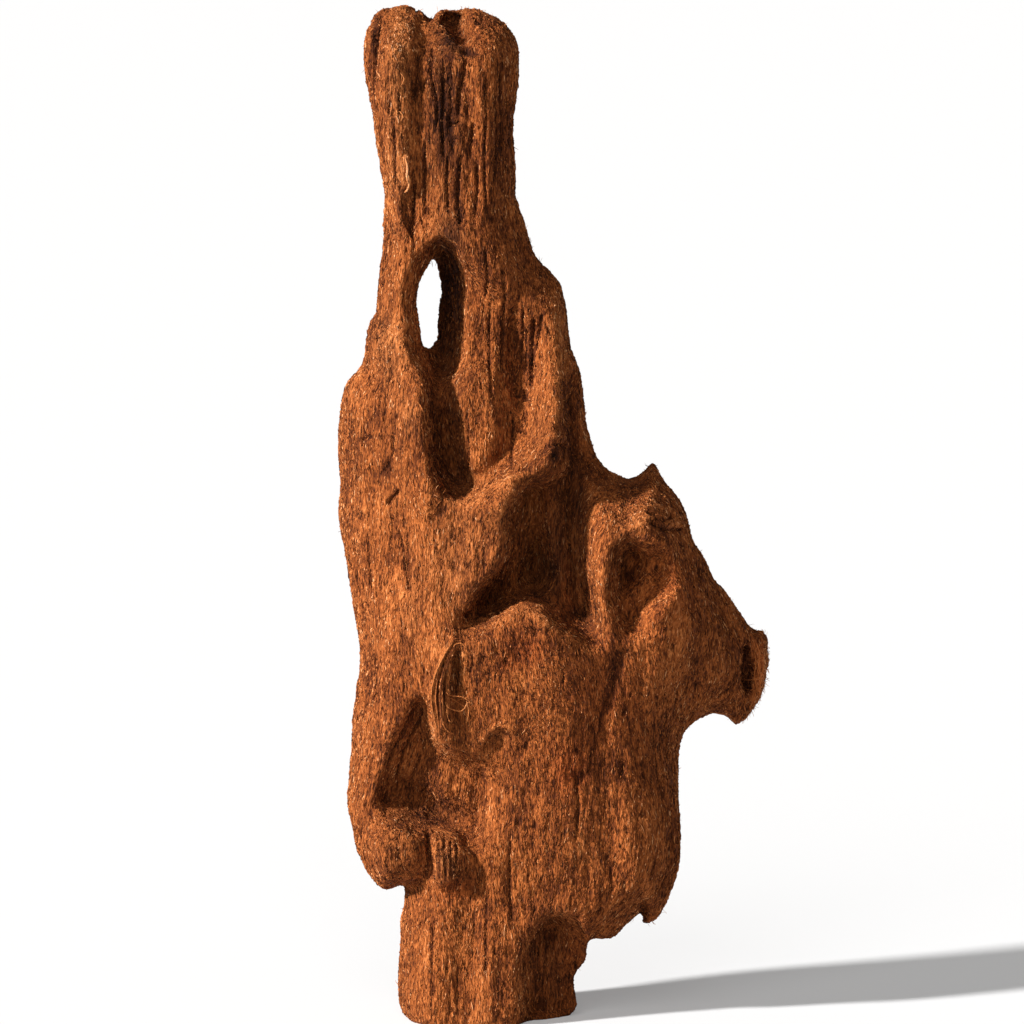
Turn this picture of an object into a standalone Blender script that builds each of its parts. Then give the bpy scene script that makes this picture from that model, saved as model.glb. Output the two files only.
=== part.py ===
"""A weathered piece of driftwood, standing on its sawn foot.

The wood is one solid. Its outline is a closed loop in the XZ plane, with a window through it. A front
and a back face are stretched over that loop: each swells from a thin edge to the full thickness, and
is then worn by hollows, grooves and ridges, dented round the sides and fluted along the grain.
Units in the tables are millimetres; x runs to the right, z up from the foot, and the front faces -Y.
"""

import math

import bmesh
import bpy
import numpy as np
from mathutils import Vector, geometry, noise

MM = 0.001

# Spacing of the points that the faces are first made from, and the triangles left in the end
OUTLINE_STEP = 2.4
FRONT_STEP = 1.35
BACK_STEP = 2.1
EDGE_ROWS = (0.12, 0.5, 1.2, 2.2)
GRID_CLEARANCE = 2.9
CROWDED = 0.62
ROW_CLEARANCE = 0.78
FLAT_TRIANGLE = 1e-4
SMOOTHING_ROUNDS = 4
TRIANGLES = 11600
FOOT_FLAT = 0.08

# Thickness along the height: z, front swell, back swell, rounding radius, bend, x of the crest, lean
STATIONS = (
    (0.0, 22.0, 20.0, 13.0, 0.04, -22.0, -1.5),
    (38.0, 22.0, 20.0, 16.0, 0.08, -20.0, 0.0),
    (62.0, 24.0, 21.0, 20.0, 0.12, -14.0, 0.5),
    (105.0, 28.0, 22.5, 25.0, 0.17, -10.0, 0.0),
    (150.0, 29.0, 24.0, 30.0, 0.24, -12.0, -1.0),
    (185.0, 25.0, 20.5, 26.0, 0.22, -16.0, 0.5),
    (215.0, 20.0, 17.0, 20.0, 0.14, -26.0, 2.0),
    (250.0, 16.0, 15.0, 16.0, 0.07, -30.0, 3.0),
    (285.0, 17.5, 16.0, 16.0, 0.05, -30.0, 5.0),
    (301.0, 15.0, 14.0, 13.0, 0.05, -30.0, 6.5),
)
CREST_ROUNDING = 14.0
ARM_START_X = 24.0
ARM_END_X = 64.0
ARM_THINNING = 0.45
ARM_ROUNDING = 0.65
ARM_SETBACK = 7.0
LEAST_WALL = 4.6
LEAST_WALL_RUN = 6.0
EDGE_UNWORN = 5.0

# The window's edge: at the strut on its left it lies forward, and at its right near the back
WINDOW_EDGE_LEFT_Y = -3.0
WINDOW_EDGE_RIGHT_Y = 12.5
WINDOW_ROUND_LEFT = 6.0
WINDOW_ROUND_RIGHT = 2.6

# The whole piece wanders from its plane: wavelength and how far
WANDER_LENGTH = 62.0
WANDER = 6.0

# Parts that lie further forward or back as a whole: x, z, reach in x and z, and how far back
SHIFTS = (
    (10, 12, 13, 16, -8.0),
    (-60, 50, 14, 16, -5.0),
    (28, 162, 12, 12, 4.0),
    (64, 98, 14, 18, 3.0),
    (-64, 160, 14, 36, 3.0),
    (-50, 222, 9, 20, -3.0),
    (38, 50, 14, 22, -3.0),
)
EDGE_HOLD = 0.2

# Flutes along the grain and broad lumps: across-grain size, along-grain size, height
FLUTES = ((9.0, 85.0, 1.0), (4.4, 46.0, 0.55), (34.0, 46.0, 1.3))
FLUTE_LEAN = 0.05
FLUTE_WANDER_LENGTH = 60.0
FLUTE_KEEP_OFF_FOOT = 5.0

# Dents round the sides: centre x, y, z, then reach in x, y, z, and depth
DENTS = (
    (-66, 9, 168, 16, 7, 34, 3.0),
    (-60, -6, 118, 12, 8, 16, 2.4),
    (-62, 6, 78, 14, 7, 20, 3.2),
    (-46, 8, 18, 12, 6, 16, 2.4),
    (-52, 6, 262, 12, 5, 26, 2.4),
    (-50, -6, 228, 10, 6, 12, 1.6),
    (-10, 5, 268, 12, 5, 24, 2.6),
    (-6, 10, 232, 12, 6, 14, 2.0),
    (6, 6, 196, 10, 6, 20, 3.0),
    (40, 6, 66, 14, 8, 16, 3.4),
    (36, -10, 44, 10, 6, 10, 2.0),
    (52, 4, 126, 10, 6, 14, 2.4),
    (22, 8, 166, 12, 8, 8, 2.4),
    (12, 10, 20, 10, 7, 14, 2.6),
    (52, 8, 86, 10, 7, 8, 2.4),
)

WOOD_COLOUR = (0.36, 0.15, 0.058, 1.0)
WOOD_ROUGHNESS = 0.92

# The outline, from the foot's left corner up the left side, over the top and down the right side
FOOT_LEFT = ((-44.5, 0.0), (-46.0, 4.0), (-46.0, 10.5), (-45.5, 20.0), (-45.0, 28.5), (-44.0, 33.0),
             (-44.0, 36.5), (-44.2, 40.0))
LEFT_LOBE = ((-46.0, 39.2), (-48.5, 37.6), (-50.5, 38.0), (-52.5, 39.2), (-53.5, 41.5), (-56.0, 43.5),
             (-56.5, 47.0), (-58.5, 50.5), (-59.5, 55.5), (-61.0, 60.0), (-61.5, 65.0))
LEFT_FLANK = ((-61.0, 73.0), (-60.2, 81.0), (-60.0, 88.5), (-59.0, 94.5), (-57.5, 102.0), (-57.3, 108.5),
              (-58.5, 116.0), (-60.0, 124.0), (-61.5, 134.5), (-63.5, 142.5), (-64.5, 149.5),
              (-64.0, 155.5), (-64.2, 161.5), (-64.6, 167.5), (-64.5, 173.5), (-63.6, 181.0),
              (-62.5, 186.0), (-61.0, 189.5))
LEFT_STRUT = ((-57.5, 192.5), (-56.0, 196.0), (-55.5, 202.0), (-54.5, 206.5), (-52.3, 209.5),
              (-52.3, 213.0), (-52.0, 219.0), (-50.6, 227.0), (-50.3, 234.5), (-49.8, 242.5),
              (-50.0, 248.5), (-51.0, 250.5), (-52.5, 260.5), (-53.0, 266.0), (-54.0, 270.5),
              (-55.5, 278.0), (-56.3, 283.0), (-56.0, 291.5), (-54.5, 294.5), (-52.5, 298.0))
BROKEN_TOP = ((-50.0, 299.4), (-47.0, 299.7), (-44.0, 300.5), (-42.0, 300.0), (-40.5, 298.6),
              (-39.5, 299.8), (-37.5, 298.0), (-35.8, 295.6), (-35.0, 298.0), (-33.0, 299.4),
              (-27.5, 299.0), (-26.0, 299.6), (-22.0, 299.4), (-18.5, 298.0), (-15.0, 296.0),
              (-13.0, 293.5))
NECK_RIGHT = ((-10.6, 290.0), (-9.6, 286.5), (-9.6, 279.0), (-10.2, 274.0), (-11.0, 269.0),
              (-11.4, 258.5), (-11.0, 249.5), (-10.2, 242.0), (-8.7, 236.5), (-7.4, 233.0), (-6.5, 229.0),
              (-4.0, 224.5), (-0.5, 221.5), (2.3, 217.5), (4.0, 211.0), (4.8, 203.5), (6.0, 198.0),
              (8.4, 192.5), (9.1, 186.0), (10.0, 176.5), (11.1, 172.0), (13.0, 167.0), (15.4, 163.3),
              (18.0, 161.5), (23.0, 159.6), (25.7, 160.6))
SPIKE = ((27.9, 162.0), (28.6, 164.6), (30.9, 163.5), (31.8, 160.5), (34.8, 156.5), (37.5, 153.8),
         (39.7, 149.5), (40.9, 145.3), (41.8, 141.0), (45.4, 135.0), (47.5, 129.0), (50.9, 125.3),
         (53.9, 121.0), (56.3, 117.4), (58.7, 113.8), (61.0, 112.0))
TORN_TIP = ((62.5, 112.4), (64.2, 110.2), (64.1, 106.5), (65.1, 102.9), (64.2, 100.5), (63.3, 95.0),
            (61.5, 90.7), (59.0, 87.1), (56.3, 84.7), (54.5, 83.3), (53.6, 86.2), (51.5, 87.7),
            (48.4, 88.5), (45.7, 87.4), (41.8, 85.9), (39.4, 84.0), (38.1, 81.1))
RIGHT_FLANK = ((37.5, 77.0), (38.1, 65.0), (38.1, 55.5), (38.3, 46.4), (36.5, 40.0), (34.6, 34.8),
               (33.0, 30.3), (30.1, 27.7), (27.2, 26.0), (25.9, 27.0), (27.2, 29.6), (28.2, 31.6),
               (26.8, 30.8), (25.6, 29.6), (22.4, 26.4), (21.4, 26.7), (19.8, 24.5), (17.5, 22.7),
               (14.0, 23.2), (10.7, 22.9), (9.8, 17.4), (8.5, 14.9), (6.3, 11.0), (6.6, 5.8), (7.4, 3.3),
               (5.6, 0.0))
WINDOW = ((-36.5, 225.5), (-39.5, 219.5), (-40.5, 213.0), (-39.9, 207.0), (-39.2, 203.0), (-38.4, 199.0),
          (-37.0, 197.9), (-35.5, 199.1), (-34.3, 201.0), (-34.1, 208.0), (-33.3, 216.5), (-34.0, 221.0),
          (-35.2, 224.6))

# Hollows: depth, then the rim as x, z and how far inside it the wall still slopes
FRONT_HOLLOWS = (
    # the long scoop under and beside the window
    (12.0, ((-34, 232.5, 4), (-30, 231.5, 5), (-25, 228, 7), (-19, 225, 11), (-12, 219, 13),
            (-6, 213, 13), (-0.5, 204.5, 12), (1.0, 190, 12), (0.5, 177, 11), (-2.5, 169.5, 9),
            (-10, 163, 7), (-18, 158, 5.5), (-24, 155.8, 4), (-28.5, 155.3, 3.2), (-32, 158, 3),
            (-35.5, 164, 3), (-37, 173, 3), (-38, 185, 3.2), (-38, 196, 3.2), (-40, 205, 3.2),
            (-41, 213, 3), (-40, 220, 3), (-37, 229.5, 3.4))),
    # the deep well that breaks through as the window
    (17.0, ((-35, 233, 5), (-29.5, 231, 6), (-25, 220, 9), (-25, 205, 9), (-28, 192, 8), (-34, 186, 7),
            (-38, 190, 4.4), (-40, 200, 3.8), (-41.2, 213, 3.4), (-39.5, 222, 3.8))),
    # the slot at the scoop's foot, against its left wall
    (6.0, ((-37, 184, 5), (-29, 182, 8), (-24.0, 168, 8), (-22.5, 158, 4.4), (-31, 157.5, 3),
           (-35, 164, 3.2), (-37, 173, 3.6))),
    # the shaded hollow in the middle, with its brow below
    (15.5, ((-0.5, 170.5, 16), (-6, 165, 9), (-11.5, 160, 5), (-13.6, 153, 3.6), (-13.8, 146, 3.2),
            (-13.6, 141.5, 3.2), (-15.2, 137, 3.4), (-18.8, 132, 3.6), (-23.5, 126, 3.8),
            (-28, 121.5, 3.8), (-28.6, 118.2, 4), (-25, 116.4, 5), (-18.5, 118.6, 6), (-13, 121.6, 6),
            (-8.5, 123.6, 5), (-4, 121.0, 4.8), (0, 118.0, 5), (4, 115.4, 5.4), (9, 113.4, 6),
            (15, 112.5, 6), (16.5, 124.5, 8), (15.5, 136.5, 12), (14.5, 148, 15), (13, 160, 16),
            (7, 173, 16))),
    # the pit at its foot
    (8.0, ((-10.5, 129, 4.4), (-5.5, 125.3, 3.6), (-1.5, 125.4, 3.6), (1.2, 131.5, 4), (0.5, 142, 6),
           (-3.5, 152, 7), (-8.5, 146, 6))),
    # the smaller pit beside it
    (4.0, ((-23, 124.5, 3.4), (-22, 119.8, 3.4), (-18.5, 120.4, 3.4), (-14, 127, 4.2),
           (-14.6, 134, 4.2), (-19, 130, 3.8))),
    # the knot's bowl on the right
    (13.5, ((22, 144.4, 5), (18.2, 142.4, 4.2), (16.6, 137.5, 4.2), (15.8, 131, 4.6),
            (15.4, 124, 5), (17.6, 117.8, 5.5), (23, 114.6, 7), (30, 116.8, 9), (36.4, 122.0, 12),
            (41, 127.6, 13), (42, 133.0, 14), (40.6, 138.8, 14), (36.6, 143.4, 12),
            (31, 145.8, 8), (26, 145.8, 6))),
    # the long scoop at the lower left, under the torn flap
    (7.4, ((-37, 98.5, 3.4), (-42, 97, 6), (-46, 89.5, 9), (-50.4, 80.5, 10), (-53.4, 73.5, 11),
           (-55.4, 66.5, 10), (-53.4, 60.8, 6), (-45.5, 58.6, 4.2), (-39, 56.8, 4), (-32.5, 54.8, 4),
           (-24, 51, 8), (-13, 54, 15), (-9, 70, 18), (-18, 80.5, 12), (-27.6, 81.5, 4.6),
           (-32.0, 82.6, 3.4), (-34.4, 85.4, 2.8), (-35.0, 90.5, 2.8), (-35.4, 97.0, 3))),
    # a deeper trough along its foot
    (4.4, ((-53, 66, 6), (-46, 59.4, 4), (-37, 57.2, 3.6), (-30, 55.0, 3.6), (-21, 52, 6),
           (-20, 62, 10), (-34, 71, 12), (-48, 79, 10))),
    # the small arched step
    (2.4, ((-22, 83, 3), (-19, 85.6, 2.6), (-17, 86.7, 2.4), (-14.5, 86.2, 2.6), (-11.5, 83, 4),
           (-8.5, 72, 11), (-16, 62, 14), (-24, 72, 9))),
    # the cut-away on the right of the foot
    (10.5, ((-0.5, 33.0, 4.2), (-4, 31.0, 3.4), (-7, 26.4, 3.2), (-8.8, 18.5, 3.2), (-9.4, 9, 3.6),
            (-9, -6, 4.4), (13, -6, 14), (14, 10, 15), (11, 22, 12), (5, 29.6, 8))),
    # the open slit behind the torn tip
    (7.0, ((57.2, 108, 2.2), (56.8, 101, 2.2), (57.6, 95.5, 2.2), (59.9, 96, 2.2), (61.0, 102, 2.2),
           (60.2, 108, 2.2))),
    # the pit in the broken top
    (9.0, ((-32.4, 304, 2.8), (-32.8, 295.5, 2.8), (-29.7, 288.5, 3.2), (-25.0, 284.5, 3.6),
           (-22.4, 290.5, 3.4), (-25.4, 296, 3), (-26.6, 304, 2.8))),
    # raised pads have a negative depth: the lobe at the lower left, and the comb of fibres beside it
    (-4.6, ((-70, 60, 8), (-54, 60.4, 5), (-42, 58.6, 4), (-37.6, 55.4, 3.6), (-37.4, 47, 3.4),
            (-38.4, 41, 3), (-44, 39.8, 3), (-50, 33, 3), (-70, 33, 8))),
    (-4.4, ((-36.2, 54.4, 3), (-32, 54.2, 3.2), (-27.5, 53.6, 3.2), (-24.2, 50.5, 3.6),
            (-25.6, 43.4, 3.6), (-30.5, 41.0, 3), (-36.6, 41.2, 3))),
)

# Lines worn into a face: half width, depth (a ridge has a negative one), then the points as x, z
FRONT_LINES = (
    # the valley down the middle and the ridge beside it
    (4.8, 6.5, ((9.6, 204), (8.0, 180), (6.8, 160), (6.4, 146), (7.4, 130), (10, 112))),
    (3.4, -4.4, ((1.2, 184), (1.8, 164), (2.0, 147), (2.6, 130), (4.6, 114))),
    (2.0, 2.6, ((-7.0, 168), (-6.2, 156), (-6.0, 142), (-6.4, 128))),
    # grooves in the upper scoop and the ridge that closes it
    (2.6, 4.2, ((-9.6, 224), (-10.4, 207), (-10.6, 192), (-10.6, 178))),
    (2.1, 3.0, ((-4.6, 222), (-5.3, 202), (-6, 184))),
    (3.2, -3.6, ((0.2, 226), (1.6, 207), (2.0, 190), (0.8, 172), (-4.0, 158))),
    (3.0, -1.8, ((3, 170), (-7, 162.5), (-16, 156.5), (-26, 152.6))),
    # the neck: a ridge each side, and the valley between them
    (5.0, -2.6, ((-51, 306), (-50, 280), (-48.5, 262), (-47, 246), (-46.0, 218))),
    (4.6, 3.0, ((-37.0, 310), (-38.9, 284), (-39.4, 266), (-38.8, 250), (-36.0, 228))),
    (1.9, 1.3, ((-31.5, 302), (-31, 270), (-30.6, 250), (-29.0, 230))),
    (2.0, 1.5, ((-24.6, 302), (-25.4, 273), (-24.6, 256), (-24.0, 230))),
    (4.4, -1.4, ((-16.6, 302), (-17, 276), (-18, 258), (-17, 232))),
    (2.0, 1.6, ((-13.2, 296), (-13.8, 270), (-14.0, 250), (-12.0, 230))),
    (1.6, 3.4, ((-52.4, 306), (-53.0, 292), (-53.6, 284), (-54.2, 272))),
    # the swell that carries the knot's bowl
    (15.0, -6.5, ((16, 160), (30, 151), (40, 138), (43, 122), (31, 104))),
    (4.4, 2.6, ((43, 150), (46, 134), (51, 116))),
    # the brow over the lower block, and the bands below it
    (7.0, -3.2, ((-31, 107), (-18, 115.0), (-7, 118.4), (1, 113.4), (11, 103))),
    (11.0, 1.8, ((21, 128), (18, 98), (17, 77), (15.5, 56), (12, 20))),
    (8.0, -1.2, ((4, 116), (1, 84), (0, 62), (3, 32))),
    (5.5, 1.2, ((-6.4, 96), (-7.4, 60), (-6.0, 26))),
    (5.0, 2.2, ((-23.5, 62), (-24.8, 40), (-27, 24), (-28.4, 8), (-28.5, -18))),
    # grooves down the lower left scoop
    (1.8, 1.8, ((-38.4, 99), (-43, 82), (-48, 60))),
    (2.0, 2.0, ((-36.0, 93), (-39.6, 76), (-42.6, 56))),
    (1.8, 1.8, ((-31, 86), (-34.6, 72), (-36.8, 54))),
    (2.0, 1.6, ((-25.4, 84), (-28.4, 70), (-30.4, 52))),
    (2.0, 1.3, ((-19.4, 84), (-21.4, 70), (-23.0, 52))),
    # the torn flap's crest and the slot beside it
    (3.2, -3.0, ((-25, 120), (-31, 111), (-33.4, 101), (-33.8, 92), (-32.6, 79))),
    (2.0, 3.0, ((-29.8, 117), (-28.2, 104), (-27.4, 90))),
    # shallow facets on the broad left flank
    (8.0, 1.7, ((-49, 198), (-46, 162), (-47, 134), (-43, 102))),
    (6.0, -1.4, ((-56, 184), (-55, 140), (-52, 112), (-56, 74))),
)

BACK_HOLLOWS = (
    # the trough behind the window
    (6.5, ((-30, 246, 12), (-22, 225, 11), (-19, 200, 11), (-22, 172, 12), (-34, 160, 10),
           (-43, 178, 8), (-45, 205, 7), (-42, 234, 8))),
    # the hollowed heart of the root below it
    (10.0, ((4, 168, 14), (14, 142, 12), (14, 112, 12), (2, 84, 11), (-12, 74, 9), (-23, 90, 8),
            (-27, 116, 7), (-22, 144, 8), (-12, 166, 11))),
    # a pit inside that, where a side root rotted out
    (6.0, ((3, 126, 6), (0, 108, 5), (-9, 100, 4), (-16, 106, 4), (-16, 122, 5), (-8, 136, 8))),
    # a scallop under the right arm
    (5.5, ((32, 134, 9), (46, 116, 8), (50, 98, 7), (40, 90, 7), (28, 94, 8), (24, 114, 9))),
    # a worn hollow at the lower left
    (6.0, ((-42, 110, 8), (-34, 88, 7), (-35, 66, 5), (-45, 55, 5), (-54, 68, 6), (-54, 96, 8))),
    # the heel of the foot, cut back on its left
    (5.0, ((-34, 36, 6), (-29, 16, 6), (-31, -8, 6), (-54, -8, 8), (-54, 30, 8), (-44, 42, 6))),
)

BACK_LINES = (
    (4.8, -3.2, ((-49, 304), (-46, 256), (-49, 214), (-50, 176), (-46, 140), (-42, 96))),
    (4.4, 3.4, ((-32, 306), (-34, 276), (-31, 236))),
    (5.0, -3.0, ((-18, 304), (-17, 262), (-15, 230), (-9, 200), (0, 172), (22, 142))),
    (2.8, 2.6, ((-41, 300), (-42, 262), (-44, 226))),
    (3.0, 2.4, ((-24, 290), (-24, 262), (-21, 236))),
    (4.4, 3.0, ((-10, 226), (-4, 200), (4, 172))),
    (6.5, -3.6, ((24, 152), (21, 120), (14, 90), (6, 62), (-6, 26))),
    (5.5, 3.4, ((30, 96), (27, 66), (17, 30))),
    (5.5, -2.6, ((-30, 106), (-28, 72), (-30, 46), (-22, 20), (-20, -16))),
    (3.8, 3.0, ((-13, 74), (-12, 44), (-8, 22), (-8, -16))),
    (4.4, 2.8, ((-58, 184), (-56, 146), (-53, 112))),
)


def smooth_loop(points, closed=True, cuts=6):
    """Catmull-Rom curve through rows of numbers, with that many steps between two rows."""
    rows = np.array(points, float)
    count = len(rows)
    made = []
    for i in range(count if closed else count - 1):
        if closed:
            p0, p1, p2, p3 = (rows[(i + k) % count] for k in (-1, 0, 1, 2))
        else:
            p0, p1, p2, p3 = (rows[min(max(i + k, 0), count - 1)] for k in (-1, 0, 1, 2))
        for t in np.arange(cuts) / cuts:
            made.append(
                0.5 * (2 * p1 + (p2 - p0) * t + (2 * p0 - 5 * p1 + 4 * p2 - p3) * t ** 2
                       + (3 * p1 - p0 - 3 * p2 + p3) * t ** 3))
    if not closed:
        made.append(rows[-1])
    return np.array(made)


def split_edges(points, step, closed):
    """The same polyline with every long edge cut into equal pieces of at most that step."""
    rows = np.array(points, float)
    ends = np.roll(rows, -1, axis=0) if closed else rows[1:]
    made = []
    for start, end in zip(rows, ends):
        cuts = max(1, math.ceil(np.linalg.norm(end - start) / step))
        made.extend(start + (end - start) * k / cuts for k in range(cuts))
    if not closed:
        made.append(rows[-1])
    return np.array(made)


def segment_distance(points, starts, ends):
    """Distance of each point to each segment, and where along the segment the nearest spot lies."""
    along = ends - starts
    rel = points[:, None] - starts[None]
    t = np.clip((rel * along).sum(2) / np.maximum((along ** 2).sum(1), 1e-9), 0, 1)
    return np.linalg.norm(rel - along * t[..., None], axis=2), t


def distance_to(points, line, closed=True):
    """Distance of each point to a polyline."""
    ends = np.roll(line, -1, axis=0) if closed else line[1:]
    starts = line if closed else line[:-1]
    return segment_distance(points, starts, ends)[0].min(1)


def inside(points, loop):
    """Which points lie inside a closed loop, by counting crossings."""
    x, z = points[:, :1], points[:, 1:]
    ax, az = loop.T
    bx, bz = np.roll(loop, -1, axis=0).T
    spans = (az > z) != (bz > z)
    slope = (bx - ax) / np.where(bz == az, 1.0, bz - az)
    return (spans & (x < ax + (z - az) * slope)).sum(1) % 2 == 1


def smoothstep(t):
    t = np.clip(t, 0, 1)
    return t * t * (3 - 2 * t)


def swell(distance, radius):
    """A quarter round: 0 at the edge, 1 from one radius inwards."""
    return np.sqrt(1 - (1 - np.clip(distance / radius, 0, 1)) ** 2)


def hollow_depth(points, depth, rim):
    """How deep a hollow is at each point. Its wall slopes in from the rim over each rim point's width."""
    loop = smooth_loop(rim)
    ends = np.roll(loop, -1, axis=0)
    distance, t = segment_distance(points, loop[:, :2], ends[:, :2])
    wall = loop[:, 2] + (ends - loop)[:, 2] * t
    weight = 1 / (distance + 0.3) ** 3
    width = (wall * weight).sum(1) / weight.sum(1)
    sunk = depth * smoothstep(distance.min(1) / width)
    return np.where(inside(points, loop[:, :2]), sunk, 0.0)


def line_depth(points, half_width, depth, line):
    """A groove, or with a negative depth a ridge, that fades towards both ends of its line."""
    curve = smooth_loop(line, closed=False)
    distance, t = segment_distance(points, curve[:-1], curve[1:])
    nearest = distance.argmin(1)
    rows = np.arange(len(points))
    place = (nearest + t[rows, nearest]) / (len(curve) - 1)
    fade = smoothstep(np.minimum(place, 1 - place) / 0.25)
    return depth * fade * np.exp(-((distance[rows, nearest] / half_width) ** 2))


def station_values(z):
    """The thickness table read at each height, smoothly."""
    table = np.array(STATIONS)
    spot = np.clip(np.searchsorted(table[:, 0], z, side="right") - 1, 0, len(table) - 2)
    t = smoothstep((z - table[spot, 0]) / (table[spot + 1, 0] - table[spot, 0]))[:, None]
    return (table[spot, 1:] * (1 - t) + table[spot + 1, 1:] * t).T


class SpacedPoints:
    """Points of the plane, of which a new one is kept only where no kept one is too near."""

    CELL = 2.5

    def __init__(self):
        self.kept = []
        self.cells = {}

    def add(self, points, gap):
        for x, z in points.tolist():
            column, row = math.floor(x / self.CELL), math.floor(z / self.CELL)
            around = [(column + i, row + k) for i in (-1, 0, 1) for k in (-1, 0, 1)]
            near = (point for cell in around for point in self.cells.get(cell, ()))
            if all(math.hypot(x - nx, z - nz) >= gap for nx, nz in near):
                self.kept.append((x, z))
                self.cells.setdefault((column, row), []).append((x, z))


class Wood:
    """The outline and the two worn faces of the piece, in millimetres."""

    def __init__(self):
        sides = FOOT_LEFT + LEFT_LOBE + LEFT_FLANK + LEFT_STRUT + BROKEN_TOP + NECK_RIGHT
        sides += SPIKE + TORN_TIP + RIGHT_FLANK
        self.sides = split_edges(sides, OUTLINE_STEP, closed=False)
        self.foot = split_edges((sides[-1], sides[0]), OUTLINE_STEP, closed=False)[1:-1]
        self.outline = np.vstack([self.sides, self.foot])
        self.window = split_edges(WINDOW, OUTLINE_STEP, closed=True)

    def faces_at(self, points):
        """The y of the front and the back face at each x, z, and how freely the surface may be carved."""
        x, z = points.T
        front, back, radius, bend, crest, lean = station_values(z)
        arm = smoothstep((x - ARM_START_X) / (ARM_END_X - ARM_START_X))
        middle = lean + bend * (np.hypot(x - crest, CREST_ROUNDING) - CREST_ROUNDING)
        middle += ARM_SETBACK * arm
        middle += [WANDER * noise.noise(Vector((px, 0, pz)) / WANDER_LENGTH) for px, pz in points]
        for sx, sz, reach_x, reach_z, back_by in SHIFTS:
            middle += back_by * np.exp(-(((x - sx) / reach_x) ** 2 + ((z - sz) / reach_z) ** 2))
        edge = distance_to(points, self.sides, closed=False)
        full = swell(edge, radius * (1 - (1 - ARM_ROUNDING) * arm)) * (1 - ARM_THINNING * arm)
        unworn = swell(edge, EDGE_UNWORN)
        y_front = middle - front * full + unworn * self.wear(points, FRONT_HOLLOWS, FRONT_LINES)
        y_back = middle + back * full - unworn * self.wear(points, BACK_HOLLOWS, BACK_LINES)
        y_front, y_back = self.keep_wall(y_front, y_back, edge)
        y_front, y_back, window = self.round_window(points, y_front, y_back)
        hold = EDGE_HOLD + (1 - EDGE_HOLD) * smoothstep(np.minimum(full, window) / 0.6)
        return y_front, y_back, hold

    @staticmethod
    def wear(points, hollows, lines):
        """How deep a face is worn at each point."""
        return sum(hollow_depth(points, *hollow) for hollow in hollows) + sum(
            line_depth(points, *line) for line in lines)

    @staticmethod
    def keep_wall(y_front, y_back, edge):
        """Moves the faces apart where they come closer than the least wall, mostly to the back."""
        least = LEAST_WALL * swell(edge, LEAST_WALL_RUN)
        short = np.maximum(0, least - (y_back - y_front))
        return y_front - 0.35 * short, y_back + 0.65 * short

    def round_window(self, points, y_front, y_back):
        """Rolls both faces to the window's edge, which runs from the strut back to the thin floor."""
        edge = distance_to(points, self.window)
        low, high = self.window[:, 0].min(), self.window[:, 0].max()
        across = smoothstep((points[:, 0] - low) / (high - low))
        y_edge = WINDOW_EDGE_LEFT_Y + (WINDOW_EDGE_RIGHT_Y - WINDOW_EDGE_LEFT_Y) * across
        radius = WINDOW_ROUND_LEFT + (WINDOW_ROUND_RIGHT - WINDOW_ROUND_LEFT) * across
        full = swell(edge, radius)
        return y_edge + (y_front - y_edge) * full, y_edge + (y_back - y_edge) * full, full

    def within(self, points):
        return inside(points, self.outline) & ~inside(points, self.window)

    def clearance(self, points):
        """Distance to the nearest edge, the sawn foot not counted."""
        sides = distance_to(points, self.sides, closed=False)
        return np.minimum(sides, distance_to(points, self.window))

    def edge_row(self, loop, offset):
        """Points that far inside the wood from an edge, without those that another edge crowds."""
        run = np.roll(loop, -1, axis=0) - np.roll(loop, 1, axis=0)
        run /= np.linalg.norm(run, axis=1, keepdims=True)
        aside = offset * np.column_stack([run[:, 1], -run[:, 0]])
        moved = np.vstack([loop + aside, loop - aside])
        return moved[self.within(moved) & (self.clearance(moved) > ROW_CLEARANCE * offset)]

    def face_points(self, step):
        """The points of one face inside the loops: rows along the edges, then an even grid."""
        made = SpacedPoints()
        for offset in EDGE_ROWS:
            for loop in (self.sides, self.window):
                made.add(self.edge_row(loop, offset), offset * 0.5)
        low, high = self.outline.min(0), self.outline.max(0)
        across = np.arange(low[0], high[0], step)
        rise = step * math.sqrt(3) / 2
        for number, z in enumerate(np.arange(rise, high[1], rise)):
            row = np.column_stack([across + (number % 2) * step / 2, np.full(len(across), z)])
            free = self.within(row) & (self.clearance(row) > GRID_CLEARANCE)
            made.add(row[free], CROWDED * step)
        return np.array(made.kept)


def triangulate(wood, inner):
    """Triangles over the outline, less the window. Inner points keep any edge from joining two outline
    points that aren't neighbours, because the other face could hold the same edge."""
    loops = (wood.outline, wood.window)
    edges = []
    start = 0
    for loop in loops:
        edges += [(start + i, start + (i + 1) % len(loop)) for i in range(len(loop))]
        start += len(loop)
    neighbours = {frozenset(edge) for edge in edges}
    while True:
        points = [Vector(p) for p in np.vstack([*loops, inner])]
        found = geometry.delaunay_2d_cdt(points, edges, [], 0, 1e-5, True)
        flat = np.array([tuple(v) for v in found[0]])
        origin = [ids[0] for ids in found[3]]
        triangles = np.array([tuple(face) for face in found[2]])
        first, second, third = (flat[triangles[:, i]] for i in range(3))
        area = np.abs(np.linalg.det(np.stack([second - first, third - first], axis=1))) / 2
        triangles = triangles[wood.within(flat[triangles].mean(1)) & (area > FLAT_TRIANGLE)]
        sides = {frozenset(side) for a, b, c in triangles.tolist() for side in ((a, b), (b, c), (c, a))}
        chords = [sorted(side) for side in sides if all(origin[i] < start for i in side)
                  and frozenset(origin[i] for i in side) not in neighbours]
        if not chords:
            return flat, origin, triangles
        inner = np.vstack([inner, flat[np.array(sorted(chords))].mean(1)])


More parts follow.
